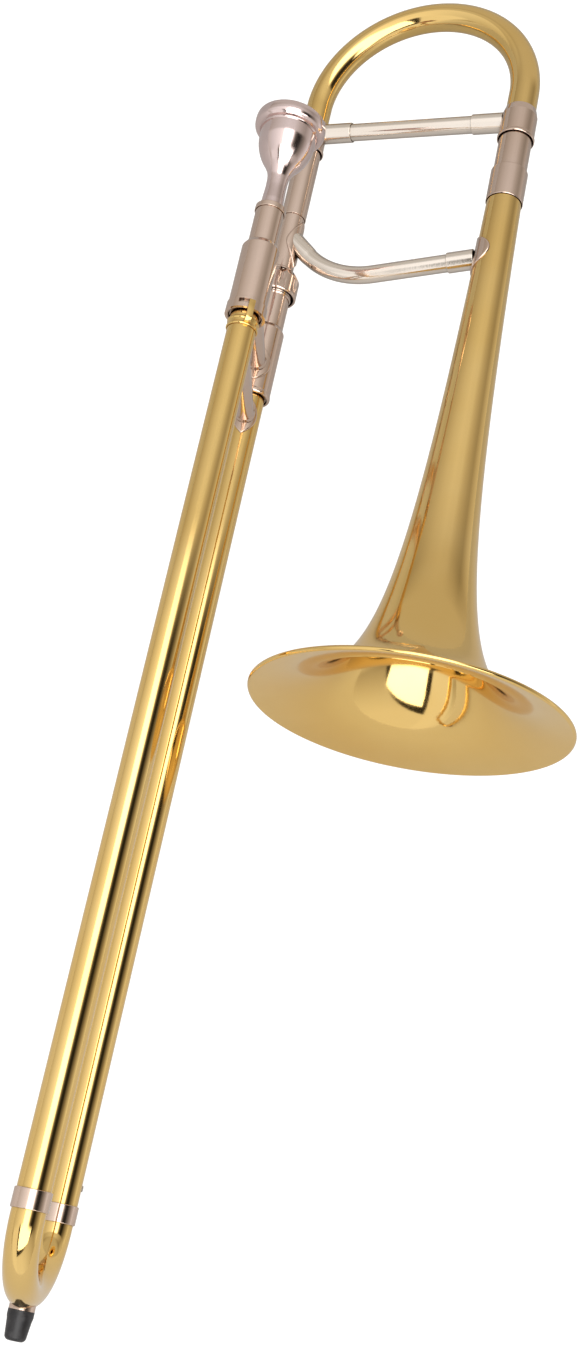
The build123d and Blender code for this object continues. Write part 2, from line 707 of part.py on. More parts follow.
BUMPER_SEAT = -304.6
BUMPER_TIP = -317.0
SPIGOT = 3.0
BUMPER = 5.8
BUMPER_SOCKET = 5.9
SPIGOT_LENGTH = 6.0

with BuildPart() as bumper_socket:
    add(rod(bumper_side, BUMPER_SOCKET, BUMPER_SEAT, BUMPER_SEAT + 7))
    add(bow_outside.part, mode=Mode.SUBTRACT)
    add(rod(bumper_side, SPIGOT, BUMPER_SEAT - SPIGOT_LENGTH, BUMPER_SEAT))
bumper_socket.part.label = "bumper_socket"
export_step(bumper_socket.part, "parts/bumper_socket.step")

with BuildPart() as rubber_bumper:
    add(
        turned(
            bumper_side,
            (0, BUMPER_TIP),
            (BUMPER - 0.8, BUMPER_TIP),
            (BUMPER, BUMPER_SEAT - 1.5),
            (BUMPER - 0.2, BUMPER_SEAT - SOLDER_GAP),
            (SPIGOT + SOLDER_GAP, BUMPER_SEAT - SOLDER_GAP),
            (SPIGOT + SOLDER_GAP, BUMPER_SEAT - SPIGOT_LENGTH - 0.3),
            (0, BUMPER_SEAT - SPIGOT_LENGTH - 0.3),
        )
    )
    fillet(rubber_bumper.edges().filter_by(GeomType.CIRCLE).sort_by(Axis.Y)[0], 2.4)
rubber_bumper.part.label = "rubber_bumper"
export_step(rubber_bumper.part, "parts/rubber_bumper.step")

# ---------------------------------------------------------------- water key
# Distances here are from the lower slide tube's axis, outwards in the key plane.

KEY_SEAT = 9.2
KEY_CORK = 10.4
KEY_LEVER = 11.15
KEY_WIDTH = 4.4
KEY_PIVOT_HEIGHT = 9.75
KEY_HUB = 1.35
KEY_PIN = 0.85
KEY_LUG = 0.75
KEY_PLATE = 4.0
KEY_PAD = 3.1
KEY_NIPPLE = 3.0
KEY_SADDLE_HALF = 6.0
key_underside = KEY_CORK + 0.05
pivot_centre = key_plane.from_local_coords((KEY_PIVOT_HEIGHT, WATER_KEY_PIVOT, 0))
pivot_plane = Plane(pivot_centre, x_dir=key_plane.x_dir, z_dir=key_plane.z_dir)

with BuildPart() as water_key_nipple:
    add(cross_tube(key_plane, WATER_KEY_NIPPLE, WATER_KEY_VENT, KEY_NIPPLE, OUTER_SLIDE - 2.5, KEY_SEAT))
    add(bow_outside.part, mode=Mode.SUBTRACT)
water_key_nipple.part.label = "water_key_nipple"
export_step(water_key_nipple.part, "parts/water_key_nipple.step")

with BuildPart() as water_key_saddle:
    saddle_start = WATER_KEY_PIVOT - KEY_SADDLE_HALF
    saddle_end = WATER_KEY_PIVOT + KEY_SADDLE_HALF
    add(tube(neck_side, OUTER_SLIDE + SOLDER_GAP, OUTER_SLIDE + 0.6, saddle_start, saddle_end))
    add(pointed_oval(key_plane, WATER_KEY_PIVOT, 0, 12, KEY_SADDLE_HALF, 5), mode=Mode.INTERSECT)
    for side_of_lever in (1, -1):
        lug_face = Plane(
            pivot_plane.from_local_coords((0, 0, side_of_lever * (KEY_WIDTH / 2 + 0.05))),
            x_dir=pivot_plane.x_dir,
            z_dir=pivot_plane.z_dir * side_of_lever,
        )
        with BuildSketch(lug_face):
            with Locations((-0.6, 0)):
                Rectangle(3.2, 4.5)
            Circle(KEY_PIN + SOLDER_GAP, mode=Mode.SUBTRACT)
        extrude(amount=KEY_LUG)
water_key_saddle.part.label = "water_key_saddle"
export_step(water_key_saddle.part, "parts/water_key_saddle.step")

with BuildPart() as water_key_lever:
    with BuildSketch(key_plane):
        with BuildLine():
            Polyline(
                (key_underside, WATER_KEY_NIPPLE - KEY_PAD),
                (KEY_LEVER, WATER_KEY_NIPPLE - KEY_PAD),
                (KEY_LEVER, WATER_KEY_PLATE),
                (key_underside, WATER_KEY_PLATE),
                close=True,
            )
        make_face()
    extrude(amount=KEY_WIDTH / 2, both=True)
    add(cross_tube(key_plane, WATER_KEY_NIPPLE, 0, KEY_PAD + 0.5, key_underside, KEY_LEVER))
    add(cross_tube(key_plane, WATER_KEY_PLATE, 0, KEY_PLATE, key_underside, KEY_LEVER))
    with BuildSketch(pivot_plane):
        Circle(KEY_HUB)
    extrude(amount=KEY_WIDTH / 2, both=True)
    with BuildSketch(pivot_plane):
        Circle(KEY_PIN + RUNNING_GAP)
    extrude(amount=KEY_WIDTH, both=True, mode=Mode.SUBTRACT)
water_key_lever.part.label = "water_key_lever"
export_step(water_key_lever.part, "parts/water_key_lever.step")

with BuildPart() as water_key_cork:
    add(cross_tube(key_plane, WATER_KEY_NIPPLE, 0, KEY_PAD, KEY_SEAT + SOLDER_GAP, KEY_CORK))
water_key_cork.part.label = "water_key_cork"
export_step(water_key_cork.part, "parts/water_key_cork.step")

COIL_RADIUS = 1.35
COIL_WIRE = 0.25
COIL_LENGTH = 2.2
COIL_TURNS = 3
SCREW_HEAD = 1.45
coil_start = KEY_WIDTH / 2 + KEY_LUG + 0.5
screw_end = coil_start + COIL_LENGTH + 0.5

with BuildPart() as water_key_pivot_screw:
    with BuildSketch(pivot_plane.offset(-KEY_WIDTH / 2 - KEY_LUG)):
        Circle(KEY_PIN)
    extrude(amount=screw_end + KEY_WIDTH / 2 + KEY_LUG)
    with BuildSketch(pivot_plane.offset(screw_end)):
        Circle(SCREW_HEAD)
    extrude(amount=0.8)
water_key_pivot_screw.part.label = "water_key_pivot_screw"
export_step(water_key_pivot_screw.part, "parts/water_key_pivot_screw.step")

with BuildPart() as water_key_spring:
    with BuildLine() as coil_line:
        Helix(
            pitch=COIL_LENGTH / COIL_TURNS,
            height=COIL_LENGTH,
            radius=COIL_RADIUS,
            center=tuple(pivot_plane.offset(coil_start).origin),
            direction=tuple(pivot_plane.z_dir),
        )
    with BuildSketch(Plane(coil_line.line @ 0, z_dir=coil_line.line % 0)):
        Circle(COIL_WIRE)
    sweep(path=coil_line.line, is_frenet=True)
water_key_spring.part.label = "water_key_spring"
export_step(water_key_spring.part, "parts/water_key_spring.step")

# ---------------------------------------------------------------- slide lock
# The lug's tooth enters an opening in the ring's lower edge. Turning the ring brings its closed lower
# edge under the tooth.

LOCK_TRAVEL = 30.0
SLOT_START = TOOTH_START - 0.3
SLOT_END = TOOTH_END + 0.3
entry_width = TOOTH_WIDTH + 0.6
entry_turn = degrees(entry_width / 2 / LOCK_RING)

with BuildPart() as slide_lock_ring:
    add(tube(mouth_side, LOCK_RING_BORE, LOCK_RING, BARREL_START, LOCK_RING_END))
    with BuildSketch(lug_plane):
        with Locations((LOCK_RING, (BARREL_START - 1 + SLOT_END) / 2)):
            Rectangle(4, SLOT_END - BARREL_START + 1)
    extrude(amount=entry_width / 2, both=True, mode=Mode.SUBTRACT)
    slot_plane = radial_plane(LUG_TURN - entry_turn, mouth_axis.X, mouth_axis.Z)
    with BuildSketch(slot_plane):
        with Locations((LOCK_RING, (SLOT_START + SLOT_END) / 2)):
            Rectangle(4, SLOT_END - SLOT_START)
    revolve(
        axis=Axis(mouth_side.origin, (0, -1, 0)),
        revolution_arc=LOCK_TRAVEL + 2 * entry_turn,
        mode=Mode.SUBTRACT,
    )
slide_lock_ring.part.label = "slide_lock_ring"
export_step(slide_lock_ring.part, "parts/slide_lock_ring.step")

# ---------------------------------------------------------------- mouthpiece

SHANK_TOP = 258.0
CUP_DEPTH = 25.0
THROAT = 3.2
shank_start = (shank_radius(SHANK_BOTTOM), SHANK_BOTTOM)
shank_inside = (shank_radius(SHANK_BOTTOM) - 0.5, SHANK_BOTTOM)
shank_end = (shank_radius(SHANK_TOP), SHANK_TOP)
cup_bottom = (THROAT, MOUTHPIECE_RIM - CUP_DEPTH)
throat_end = (THROAT, MOUTHPIECE_RIM - CUP_DEPTH - 8)
bowl_top = (15.5, 302.6)
rim_step = (17.8, 303.4)
rim_bite = (12.5, 308.5)

with BuildPart() as mouthpiece:
    with BuildSketch(mouth_side):
        with BuildLine():
            Line(shank_inside, shank_start)
            Line(shank_start, shank_end)
            Spline(
                shank_end,
                (5.6, 268),
                (6.1, 275),
                (8.2, 280),
                (11.2, 284.5),
                (13.6, 289.5),
                (15.0, 295),
                bowl_top,
            )
            Line(bowl_top, rim_step)
            Spline(rim_step, (19.2, 306.5), (19.0, 310), (17.0, MOUTHPIECE_RIM), (13.9, 311.2), rim_bite)
            Spline(rim_bite, (11.6, 301), (8.4, 292.5), cup_bottom)
            Line(cup_bottom, throat_end)
            Line(throat_end, shank_inside)
        make_face()
    revolve(axis=Axis(mouth_side.origin, (0, 1, 0)))
mouthpiece.part.label = "mouthpiece"
export_step(mouthpiece.part, "parts/mouthpiece.step")
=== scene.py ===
import json
import math

import bmesh
import bpy
from mathutils import Matrix, Vector


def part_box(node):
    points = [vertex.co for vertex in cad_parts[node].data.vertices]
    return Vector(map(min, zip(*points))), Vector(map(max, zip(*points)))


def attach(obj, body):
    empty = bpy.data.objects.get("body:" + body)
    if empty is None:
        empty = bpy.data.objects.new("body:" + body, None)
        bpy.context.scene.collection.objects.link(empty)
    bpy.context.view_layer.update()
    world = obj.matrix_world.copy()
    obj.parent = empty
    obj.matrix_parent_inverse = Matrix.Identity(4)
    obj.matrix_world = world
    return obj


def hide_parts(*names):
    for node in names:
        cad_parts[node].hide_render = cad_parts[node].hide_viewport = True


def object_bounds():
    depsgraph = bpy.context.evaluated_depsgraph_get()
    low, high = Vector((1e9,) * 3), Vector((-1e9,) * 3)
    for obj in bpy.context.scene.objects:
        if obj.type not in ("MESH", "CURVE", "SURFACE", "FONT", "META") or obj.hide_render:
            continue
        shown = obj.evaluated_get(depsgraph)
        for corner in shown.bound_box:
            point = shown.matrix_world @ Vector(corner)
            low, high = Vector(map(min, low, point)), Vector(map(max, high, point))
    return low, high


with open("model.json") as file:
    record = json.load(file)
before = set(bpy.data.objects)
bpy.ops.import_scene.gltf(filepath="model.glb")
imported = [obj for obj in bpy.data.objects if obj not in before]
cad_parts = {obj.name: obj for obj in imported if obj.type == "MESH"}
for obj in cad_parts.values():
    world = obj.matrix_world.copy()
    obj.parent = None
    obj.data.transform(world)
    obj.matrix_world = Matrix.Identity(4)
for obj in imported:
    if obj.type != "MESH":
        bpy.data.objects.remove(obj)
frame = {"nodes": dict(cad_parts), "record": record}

# A small alto-size trombone. Shapes are worked out in millimetres in the shared frame and scaled to metres
# when a mesh is made. "Neck", "mouth" and "bell" name the three stacks of turned parts, each about an
# axis parallel to +Y. Places are distances along Y from the bell's mouth.

cad_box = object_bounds()

MM = 0.001
BODY_OF = {node: body for body, nodes in frame["record"]["behaviour"]["bodies"].items() for node in nodes}
SLOT_OF = {entry["node"]: entry["material_slot"] for entry in frame["record"]["subparts"]}
ALONG = Vector((0, 1, 0))


# ---------------------------------------------------------------- the CAD frame's axes

def node_axis(node):
    """The axis of a round CAD node that runs along Y, as a point at the height of the bell's mouth."""
    low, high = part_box(node)
    return Vector(((low.x + high.x) / 2, 0, (low.z + high.z) / 2)) / MM


def node_ends(node):
    """Where a CAD node starts and ends along Y."""
    low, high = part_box(node)
    return low.y / MM, high.y / MM


def node_radius(node):
    """The outer radius of a round CAD node that runs along Y."""
    low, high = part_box(node)
    return (high.x - low.x) / 2 / MM


BELL = Vector((0, 0, 0))
MOUTH = node_axis("outer_slide_tube_upper")
NECK = node_axis("outer_slide_tube_lower")
BUMPER = node_axis("rubber_bumper")
TO_BELL = (BELL - NECK).normalized()
TO_MOUTH = (MOUTH - NECK).normalized()
BELL_TO_NECK = (BELL - NECK).length
SLIDE_SPACING = (MOUTH - NECK).length


# ---------------------------------------------------------------- mesh building

def soften(outline, radius=0.3):
    """Rounds a closed outline's corners with small arcs, and adds points beside them that keep faces flat."""
    points = [Vector(p) for p in outline]
    count = len(points)
    soft = []
    for i, corner in enumerate(points):
        before = points[i - 1] - corner
        after = points[(i + 1) % count] - corner
        turn = math.pi - before.angle(after, math.pi)
        if turn < math.radians(12):
            soft.append(corner)
            continue
        reach = min(radius * math.tan(turn / 2), 0.42 * before.length, 0.42 * after.length)
        first = corner + before.normalized() * reach
        last = corner + after.normalized() * reach
        bisector = (before.normalized() + after.normalized()).normalized()
        bend = reach / math.tan(turn / 2)
        centre = corner + bisector * (bend / math.cos(turn / 2))
        steps = max(2, round(math.degrees(turn) / 18))
        support = min(0.25, reach)
        if before.length > 4 * support:
            soft.append(first + before.normalized() * support)
        for step in range(steps + 1):
            arm = (first - centre).lerp(last - centre, step / steps)
            soft.append(centre + arm.normalized() * (first - centre).length)
        if after.length > 4 * support:
            soft.append(last + after.normalized() * support)
    return soft


def make_mesh(name, vertices, faces, sharp=40):
    """A smooth-shaded object from millimetre vertices, with edges sharper than an angle kept sharp."""
    mesh = bpy.data.meshes.new(name)
    mesh.from_pydata([Vector(v) * MM for v in vertices], [], faces)
    shape = bmesh.new()
    shape.from_mesh(mesh)
    bmesh.ops.remove_doubles(shape, verts=shape.verts, dist=1e-7)
    bmesh.ops.recalc_face_normals(shape, faces=shape.faces)
    shape.to_mesh(mesh)
    shape.free()
    mesh.polygons.foreach_set("use_smooth", [True] * len(mesh.polygons))
    mesh.set_sharp_from_angle(angle=math.radians(sharp))
    thing = bpy.data.objects.new(name, mesh)
    bpy.context.scene.collection.objects.link(thing)
    return thing


def skin(name, rings, closed=True, sharp=40):
    """Joins rings of points into one surface. Closed joins the last ring to the first, else caps both."""
    size = len(rings[0])
    vertices = [point for ring in rings for point in ring]
    faces = []
    for i in range(len(rings) if closed else len(rings) - 1):
        near = i * size
        far = ((i + 1) % len(rings)) * size
        for j in range(size):
            k = (j + 1) % size
            faces.append((near + j, near + k, far + k, far + j))
    if not closed:
        faces.append(tuple(range(size)))
        faces.append(tuple((len(rings) - 1) * size + j for j in range(size)))
    return make_mesh(name, vertices, faces, sharp)


def across(direction):
    """Two unit vectors square to a direction and to each other."""
    first = direction.orthogonal().normalized()
    return first, direction.cross(first).normalized()


def turned(name, origin, direction, outline, segments=96, ripple=None):
    """Turns a closed outline of (radius, place) about a line. Ripple changes a radius with the angle."""
    first, second = across(direction)
    rings = []
    for radius, place in outline:
        centre = origin + direction * place
        ring = []
        for j in range(segments):
            angle = 2 * math.pi * j / segments
            reach = ripple(radius, place, angle) if ripple else radius
            ring.append(centre + first * (reach * math.cos(angle)) + second * (reach * math.sin(angle)))
        rings.append(ring)
    return skin(name, rings)


def band(name, axis, bore, radius, start, end, corner=0.25, segments=96):
    """A plain ring or tube on an axis along Y, with softened edges."""
    outline = [(bore, start), (radius, start), (radius, end), (bore, end)]
    return turned(name, axis, ALONG, soften(outline, corner), segments)


def swept(name, path, radii, wall, segments=64):
    """A tube along a path of points in one plane, with an outer radius at each point."""
    count = len(path)
    tangents = [(path[min(i + 1, count - 1)] - path[max(i - 1, 0)]).normalized() for i in range(count)]
    normal = (path[-1] - path[0]).cross(path[count // 3] - path[0])
    if normal.length < 1e-6:
        normal = tangents[0].orthogonal()
    normal.normalize()
    outer = []
    inner = []
    for point, tangent, radius in zip(path, tangents, radii):
        side = tangent.cross(normal).normalized()
        ring = []
        for j in range(segments):
            angle = 2 * math.pi * j / segments
            ring.append(normal * math.cos(angle) + side * math.sin(angle))
        outer.append([point + arm * radius for arm in ring])
        inner.append([point + arm * (radius - wall) for arm in ring])
    return skin(name, outer + inner[::-1])


def eased(start, end, steps):
    """Steps + 1 values from start to end, closer together near both ends."""
    return [start + (end - start) * (1 - math.cos(math.pi * i / steps)) / 2 for i in range(steps + 1)]


SADDLE_FEATHER = 1.1
SADDLE_SINK = 0.1


def saddle(name, axis, radius_at, facing, place, half_length, half_width, thickness):
    """A pointed oval plate lying on a round tube, thinning to nothing at its edge. No half width makes it
    round, and wide enough to reach half way round the tube."""
    side = facing.cross(ALONG).normalized()
    rows = []
    for s in eased(-0.998, 0.998, 48):
        y = place + half_length * s
        base = radius_at(y)
        if half_width:
            bow = (half_length**2 + half_width**2) / (2 * half_width)
            width = math.sqrt(bow**2 - (half_length * s) ** 2) - (bow - half_width)
            half_turn = math.asin(width / base)
        else:
            half_turn = math.acos(s**2)
        width = base * half_turn
        upper = []
        lower = []
        for t in eased(-1, 1, 24):
            angle = half_turn * t
            out = facing * math.cos(angle) + side * math.sin(angle)
            inset = (1 - t**2) * width
            lift = thickness * min(1.0, inset / SADDLE_FEATHER) ** 0.5
            centre = axis + ALONG * y
            upper.append(centre + out * (base + lift))
            lower.append(centre + out * (base - SADDLE_SINK))
        rows.append(upper + lower[::-1])
    return skin(name, rows, closed=False, sharp=50)


def plate(name, origin, outward, outline, width, rounding):
    """A flat plate of an outline (reach, place) in the plane of an outward direction, with rounded edges."""
    side = outward.cross(ALONG).normalized()
    mesh = bpy.data.meshes.new(name)
    shape = bmesh.new()
    corner_of = origin - side * (width / 2)
    corners = [(corner_of + outward * reach + ALONG * place) * MM for reach, place in outline]
    face = shape.faces.new([shape.verts.new(corner) for corner in corners])
    swept_face = bmesh.ops.extrude_face_region(shape, geom=[face])
    moved = [part for part in swept_face["geom"] if isinstance(part, bmesh.types.BMVert)]
    bmesh.ops.translate(shape, verts=moved, vec=side * width * MM)
    bmesh.ops.recalc_face_normals(shape, faces=shape.faces)
    bmesh.ops.bevel(
        shape, geom=list(shape.edges), offset=rounding * MM, segments=3, profile=0.5, affect="EDGES",
        clamp_overlap=True,
    )
    for polygon in shape.faces:
        polygon.smooth = True
    shape.to_mesh(mesh)
    shape.free()
    mesh.set_sharp_from_angle(angle=math.radians(50))
    thing = bpy.data.objects.new(name, mesh)
    bpy.context.scene.collection.objects.link(thing)
    return thing


def joined(name, *things):
    """One object made of several."""
    shape = bmesh.new()
    for thing in things:
        shape.from_mesh(thing.data)
    mesh = bpy.data.meshes.new(name)
    shape.to_mesh(mesh)
    shape.free()
    for thing in things:
        bpy.data.objects.remove(thing)
    whole = bpy.data.objects.new(name, mesh)
    bpy.context.scene.collection.objects.link(whole)
    return whole


# ---------------------------------------------------------------- materials

def new_material(name):
    """An empty node material with one surface shader, and the handles used to build on it."""
    material = bpy.data.materials.new(name)
    material.use_nodes = True
    nodes = material.node_tree.nodes
    nodes.clear()
    out = nodes.new("ShaderNodeOutputMaterial")
    shader = nodes.new("ShaderNodeBsdfPrincipled")
    material.node_tree.links.new(shader.outputs["BSDF"], out.inputs["Surface"])
    return material, nodes, material.node_tree.links, shader


def noise(nodes, links, scale, stretch_by=(1, 1, 1), detail=3.0):
    """Noise in the shared frame, stretched along its axes. Scale counts features per metre."""
    coordinates = nodes.new("ShaderNodeTexCoord")
    mapping = nodes.new("ShaderNodeMapping")
    mapping.inputs["Scale"].default_value = stretch_by
    texture = nodes.new("ShaderNodeTexNoise")
    texture.inputs["Scale"].default_value = scale
    texture.inputs["Detail"].default_value = detail
    links.new(coordinates.outputs["Object"], mapping.inputs["Vector"])
    links.new(mapping.outputs["Vector"], texture.inputs["Vector"])
    return texture.outputs["Fac"]


def remap(nodes, links, value, low, high, to_low, to_high):
    """Maps a value from one range to another, clamped."""
    node = nodes.new("ShaderNodeMapRange")
    node.inputs["From Min"].default_value = low
    node.inputs["From Max"].default_value = high
    node.inputs["To Min"].default_value = to_low
    node.inputs["To Max"].default_value = to_high
    links.new(value, node.inputs["Value"])
    return node.outputs["Result"]


def blend_colours(nodes, links, factor, first, second):
    """Mixes two colours, each a tuple or a socket."""
    mix = nodes.new("ShaderNodeMix")
    mix.data_type = "RGBA"
    links.new(factor, mix.inputs["Factor"])
    for name, colour in (("A", first), ("B", second)):
        socket = [s for s in mix.inputs if s.name == name and s.type == "RGBA"][0]
        if isinstance(colour, tuple):
            socket.default_value = (*colour, 1)
        else:
            links.new(colour, socket)
    return [s for s in mix.outputs if s.type == "RGBA"][0]


SEAM_SHADE_REACH = 0.003
BUFF_DEPTH = 0.0002


def polished_metal(name, colour, warm, shade_colour, roughness, edge, grain):
    """Polished metal: drifting colour, painted shade in the seams and at grazing edges, buffing lines, uneven
    gloss.
    """
    material, nodes, links, shader = new_material(name)
    drift = remap(nodes, links, noise(nodes, links, 22), 0.35, 0.65, 0.0, 1.0)
    tinted = blend_colours(nodes, links, drift, colour, warm)
    # Painted shade: occlusion darkens the colour in seams, gaps and recesses, where shade falls.
    seam_occlusion = nodes.new("ShaderNodeAmbientOcclusion")
    seam_occlusion.samples = 4
    seam_occlusion.inputs["Distance"].default_value = SEAM_SHADE_REACH
    seam_shade_amount = remap(nodes, links, seam_occlusion.outputs["AO"], 0.3, 0.8, 0.88, 0.0)
    seam_shaded = blend_colours(nodes, links, seam_shade_amount, tinted, shade_colour)
    # Painted shade: the colour darkens towards edges seen at a grazing angle.
    facing = nodes.new("ShaderNodeLayerWeight")
    facing.inputs["Blend"].default_value = 0.5
    edge_shade_amount = remap(nodes, links, facing.outputs["Facing"], 0.35, 0.85, 0.0, edge)
    links.new(blend_colours(nodes, links, edge_shade_amount, seam_shaded, shade_colour), shader.inputs["Base Color"])
    smears = noise(nodes, links, 60, (1, 0.35, 1), 4)
    gloss = remap(nodes, links, smears, 0.3, 0.75, roughness * 0.7, roughness * 1.7)
    links.new(gloss, shader.inputs["Roughness"])
    bump = nodes.new("ShaderNodeBump")
    bump.inputs["Strength"].default_value = grain
    bump.inputs["Distance"].default_value = BUFF_DEPTH
    links.new(noise(nodes, links, 900, (1, 0.06, 1), 2), bump.inputs["Height"])
    links.new(bump.outputs["Normal"], shader.inputs["Normal"])
    shader.inputs["Metallic"].default_value = 1.0
    return material


def rubber_material():
    """Moulded black rubber with a fine stipple and worn, greyer patches."""
    material, nodes, links, shader = new_material("black_rubber")
    wear = remap(nodes, links, noise(nodes, links, 260, (1, 1, 1), 5), 0.45, 0.7, 0.0, 1.0)
    colour = blend_colours(nodes, links, wear, (0.012, 0.011, 0.012), (0.035, 0.033, 0.034))
    links.new(colour, shader.inputs["Base Color"])
    links.new(remap(nodes, links, wear, 0, 1, 0.34, 0.55), shader.inputs["Roughness"])
    bump = nodes.new("ShaderNodeBump")
    bump.inputs["Strength"].default_value = 0.25
    bump.inputs["Distance"].default_value = 0.0001
    links.new(noise(nodes, links, 2600, (1, 1, 1), 2), bump.inputs["Height"])
    links.new(bump.outputs["Normal"], shader.inputs["Normal"])
    return material


def cork_material():
    """Natural cork: pale brown with dark pores."""
    material, nodes, links, shader = new_material("cork")
    pores = nodes.new("ShaderNodeTexVoronoi")
    pores.inputs["Scale"].default_value = 1400
    coordinates = nodes.new("ShaderNodeTexCoord")
    links.new(coordinates.outputs["Object"], pores.inputs["Vector"])
    pits = remap(nodes, links, pores.outputs["Distance"], 0.1, 0.5, 0.0, 1.0)
    colour = blend_colours(nodes, links, pits, (0.12, 0.06, 0.03), (0.36, 0.21, 0.11))
    links.new(colour, shader.inputs["Base Color"])
    shader.inputs["Roughness"].default_value = 0.85
    bump = nodes.new("ShaderNodeBump")
    bump.inputs["Strength"].default_value = 0.4
    bump.inputs["Distance"].default_value = 0.0001
    links.new(pits, bump.inputs["Height"])
    links.new(bump.outputs["Normal"], shader.inputs["Normal"])
    return material


# Each metal's third colour is its painted shade, for seams and grazing edges.
MATERIALS = {
    "lacquered_brass": polished_metal(
        "lacquered_brass", (0.90, 0.62, 0.235), (0.88, 0.59, 0.205), (0.22, 0.10, 0.025), 0.07, 0.12, 0.04
    ),
    "nickel_silver": polished_metal(
        "nickel_silver", (0.78, 0.605, 0.50), (0.76, 0.575, 0.46), (0.10, 0.07, 0.05), 0.11, 0.3, 0.06
    ),
    # Painted highlight: a paler, brighter copy of nickel silver for the braces, so their highlights blow out
    # white, with strong painted shade at the edges.
    "brace_nickel_painted_highlight": polished_metal(
        "brace_nickel_painted_highlight", (0.98, 0.88, 0.78), (0.94, 0.83, 0.72), (0.12, 0.085, 0.06), 0.10, 0.72, 0.06
    ),
    "silver_plate": polished_metal(
        "silver_plate", (0.84, 0.68, 0.65), (0.82, 0.65, 0.61), (0.16, 0.11, 0.10), 0.115, 0.15, 0.04
    ),
    "steel": polished_metal(
        "steel", (0.55, 0.54, 0.53), (0.50, 0.48, 0.46), (0.10, 0.08, 0.07), 0.25, 0.1, 0.08
    ),
    "black_rubber": rubber_material(),
    "cork": cork_material(),
}


def dress(piece, node, look=None):
    """Gives a piece its material, from its CAD node's slot unless a look is given, and its body, and lets it
    stand for its CAD node.
    """
    slot = SLOT_OF[node]
    piece.data.materials.clear()
    piece.data.materials.append(MATERIALS[look or slot])
    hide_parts(node)
    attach(piece, BODY_OF[node])
    return piece


def ease_edges(thing):
    """Rounds a CAD node's hard edges without touching its mesh."""
    bevel = thing.modifiers.new("eased_edges", "BEVEL")
    bevel.width = EASED_EDGE * MM
    bevel.segments = 2
    bevel.limit_method = "ANGLE"
    bevel.angle_limit = math.radians(EASED_ANGLE)
    bevel.harden_normals = True


EASED_EDGE = 0.18
EASED_ANGLE = 35
EASED = (
    "slide_lock_ring", "bumper_socket", "water_key_nipple", "water_key_saddle", "water_key_lever",
    "water_key_pivot_screw",
)

# Every CAD node gets its material. The ones that a finer piece stands for are hidden further down.
for node, thing in frame["nodes"].items():
    thing.data.materials.clear()
    thing.data.materials.append(MATERIALS[SLOT_OF[node]])
    if node in EASED:
        ease_edges(thing)


# ---------------------------------------------------------------- bell section

TUBE_WALL = 0.5
FLARE_LENGTH = 9.2
FLARE_POWER = -0.6
RIM_BEAD = 1.7
RIM_START = 1.97
CURL = 1.25
BELL_RADIUS = node_radius("bell_flare")


def bell_radius(place):
    """Outer radius of the bell: a power law of the distance from the rim."""
    return BELL_RADIUS * (1 + (place - RIM_BEAD) / FLARE_LENGTH) ** FLARE_POWER


def wall_point(place, depth):
    """Point of the bell's wall at a depth under its outer surface, and the direction into the bell."""
    radius = bell_radius(place)
    slope = radius * FLARE_POWER / (FLARE_LENGTH + place - RIM_BEAD)
    inward = Vector((-1, slope)).normalized()
    return Vector((radius, place)) + inward * depth, inward


def make_bell():
    """Spun bell with a long tail. Its edge is curled outwards over a wire, flush inside."""
    end = node_ends("bell_flare")[1]
    touch, inward = wall_point(RIM_START, TUBE_WALL)
    centre = touch - inward * CURL
    first = math.atan2(inward.y, inward.x)
    join = math.acos((CURL - TUBE_WALL) / CURL)
    curl = []
    for i in range(37):
        angle = first + (2 * math.pi - join) * i / 36
        curl.append((centre.x + CURL * math.cos(angle), centre.y + CURL * math.sin(angle)))
    outside_start = curl[-1][1] + 0.02
    outside = [wall_point(outside_start + (end - outside_start) * (i / 150) ** 2, 0)[0] for i in range(151)]
    inside = [wall_point(RIM_START + (end - RIM_START) * (i / 150) ** 2, TUBE_WALL)[0] for i in range(1, 151)]
    return turned("bell", BELL, ALONG, inside[::-1] + curl + outside, 256)


dress(make_bell(), "bell_flare")


def make_rim_wire():
    """Steel wire that the bell's edge is curled over."""
    touch, inward = wall_point(RIM_START, TUBE_WALL)
    centre = touch - inward * CURL
    radius = CURL - TUBE_WALL - 0.02
    outline = []
    for i in range(24):
        angle = 2 * math.pi * i / 24
        outline.append((centre.x + radius * math.cos(angle), centre.y + radius * math.sin(angle)))
    return turned("bell_rim_wire_soft", BELL, ALONG, outline, 256)


dress(make_rim_wire(), "bell_rim_wire")


def make_tail_ferrule():
    """Ferrule over the end of the bell's tail, with a countersunk, bevelled open end."""
    start, end = node_ends("bell_tail_ferrule")
    radius = node_radius("bell_tail_ferrule")
    bore = bell_radius(end)
    mouth = bell_radius(start) + 0.02
    outline = [(mouth, start + 2), (radius - 0.28, start), (radius, start + 0.4), (radius, end), (bore, end)]
    return turned("bell_tail_ferrule_soft", BELL, ALONG, soften(outline, 0.3))


dress(make_tail_ferrule(), "bell_tail_ferrule")


def make_tube(node, axis, wall=TUBE_WALL, corner=0.2, segments=96):
    """A plain tube in place of a CAD node that is one."""
    start, end = node_ends(node)
    radius = node_radius(node)
    return band(node + "_soft", axis, radius - wall, radius, start, end, corner, segments)


dress(make_tube("tuning_outer_tube_bell", BELL), "tuning_outer_tube_bell")
dress(make_tube("tuning_outer_tube_neck", NECK), "tuning_outer_tube_neck")
dress(make_tube("gooseneck", NECK), "gooseneck")


def make_collar():
    """Collar at the foot of the gooseneck: tapered plug, flange and sleeve."""
    start, end = node_ends("gooseneck_collar")
    outline = [
        (6.87, start), (7.2, start), (7.3, start + 15.5), (9.2, start + 15.5), (9.2, start + 18.5),
        (8.0, start + 18.5), (8.0, end - 1.2), (6.87, end),
    ]
    return turned("gooseneck_collar_soft", NECK, ALONG, soften(outline, 0.4))


dress(make_collar(), "gooseneck_collar")

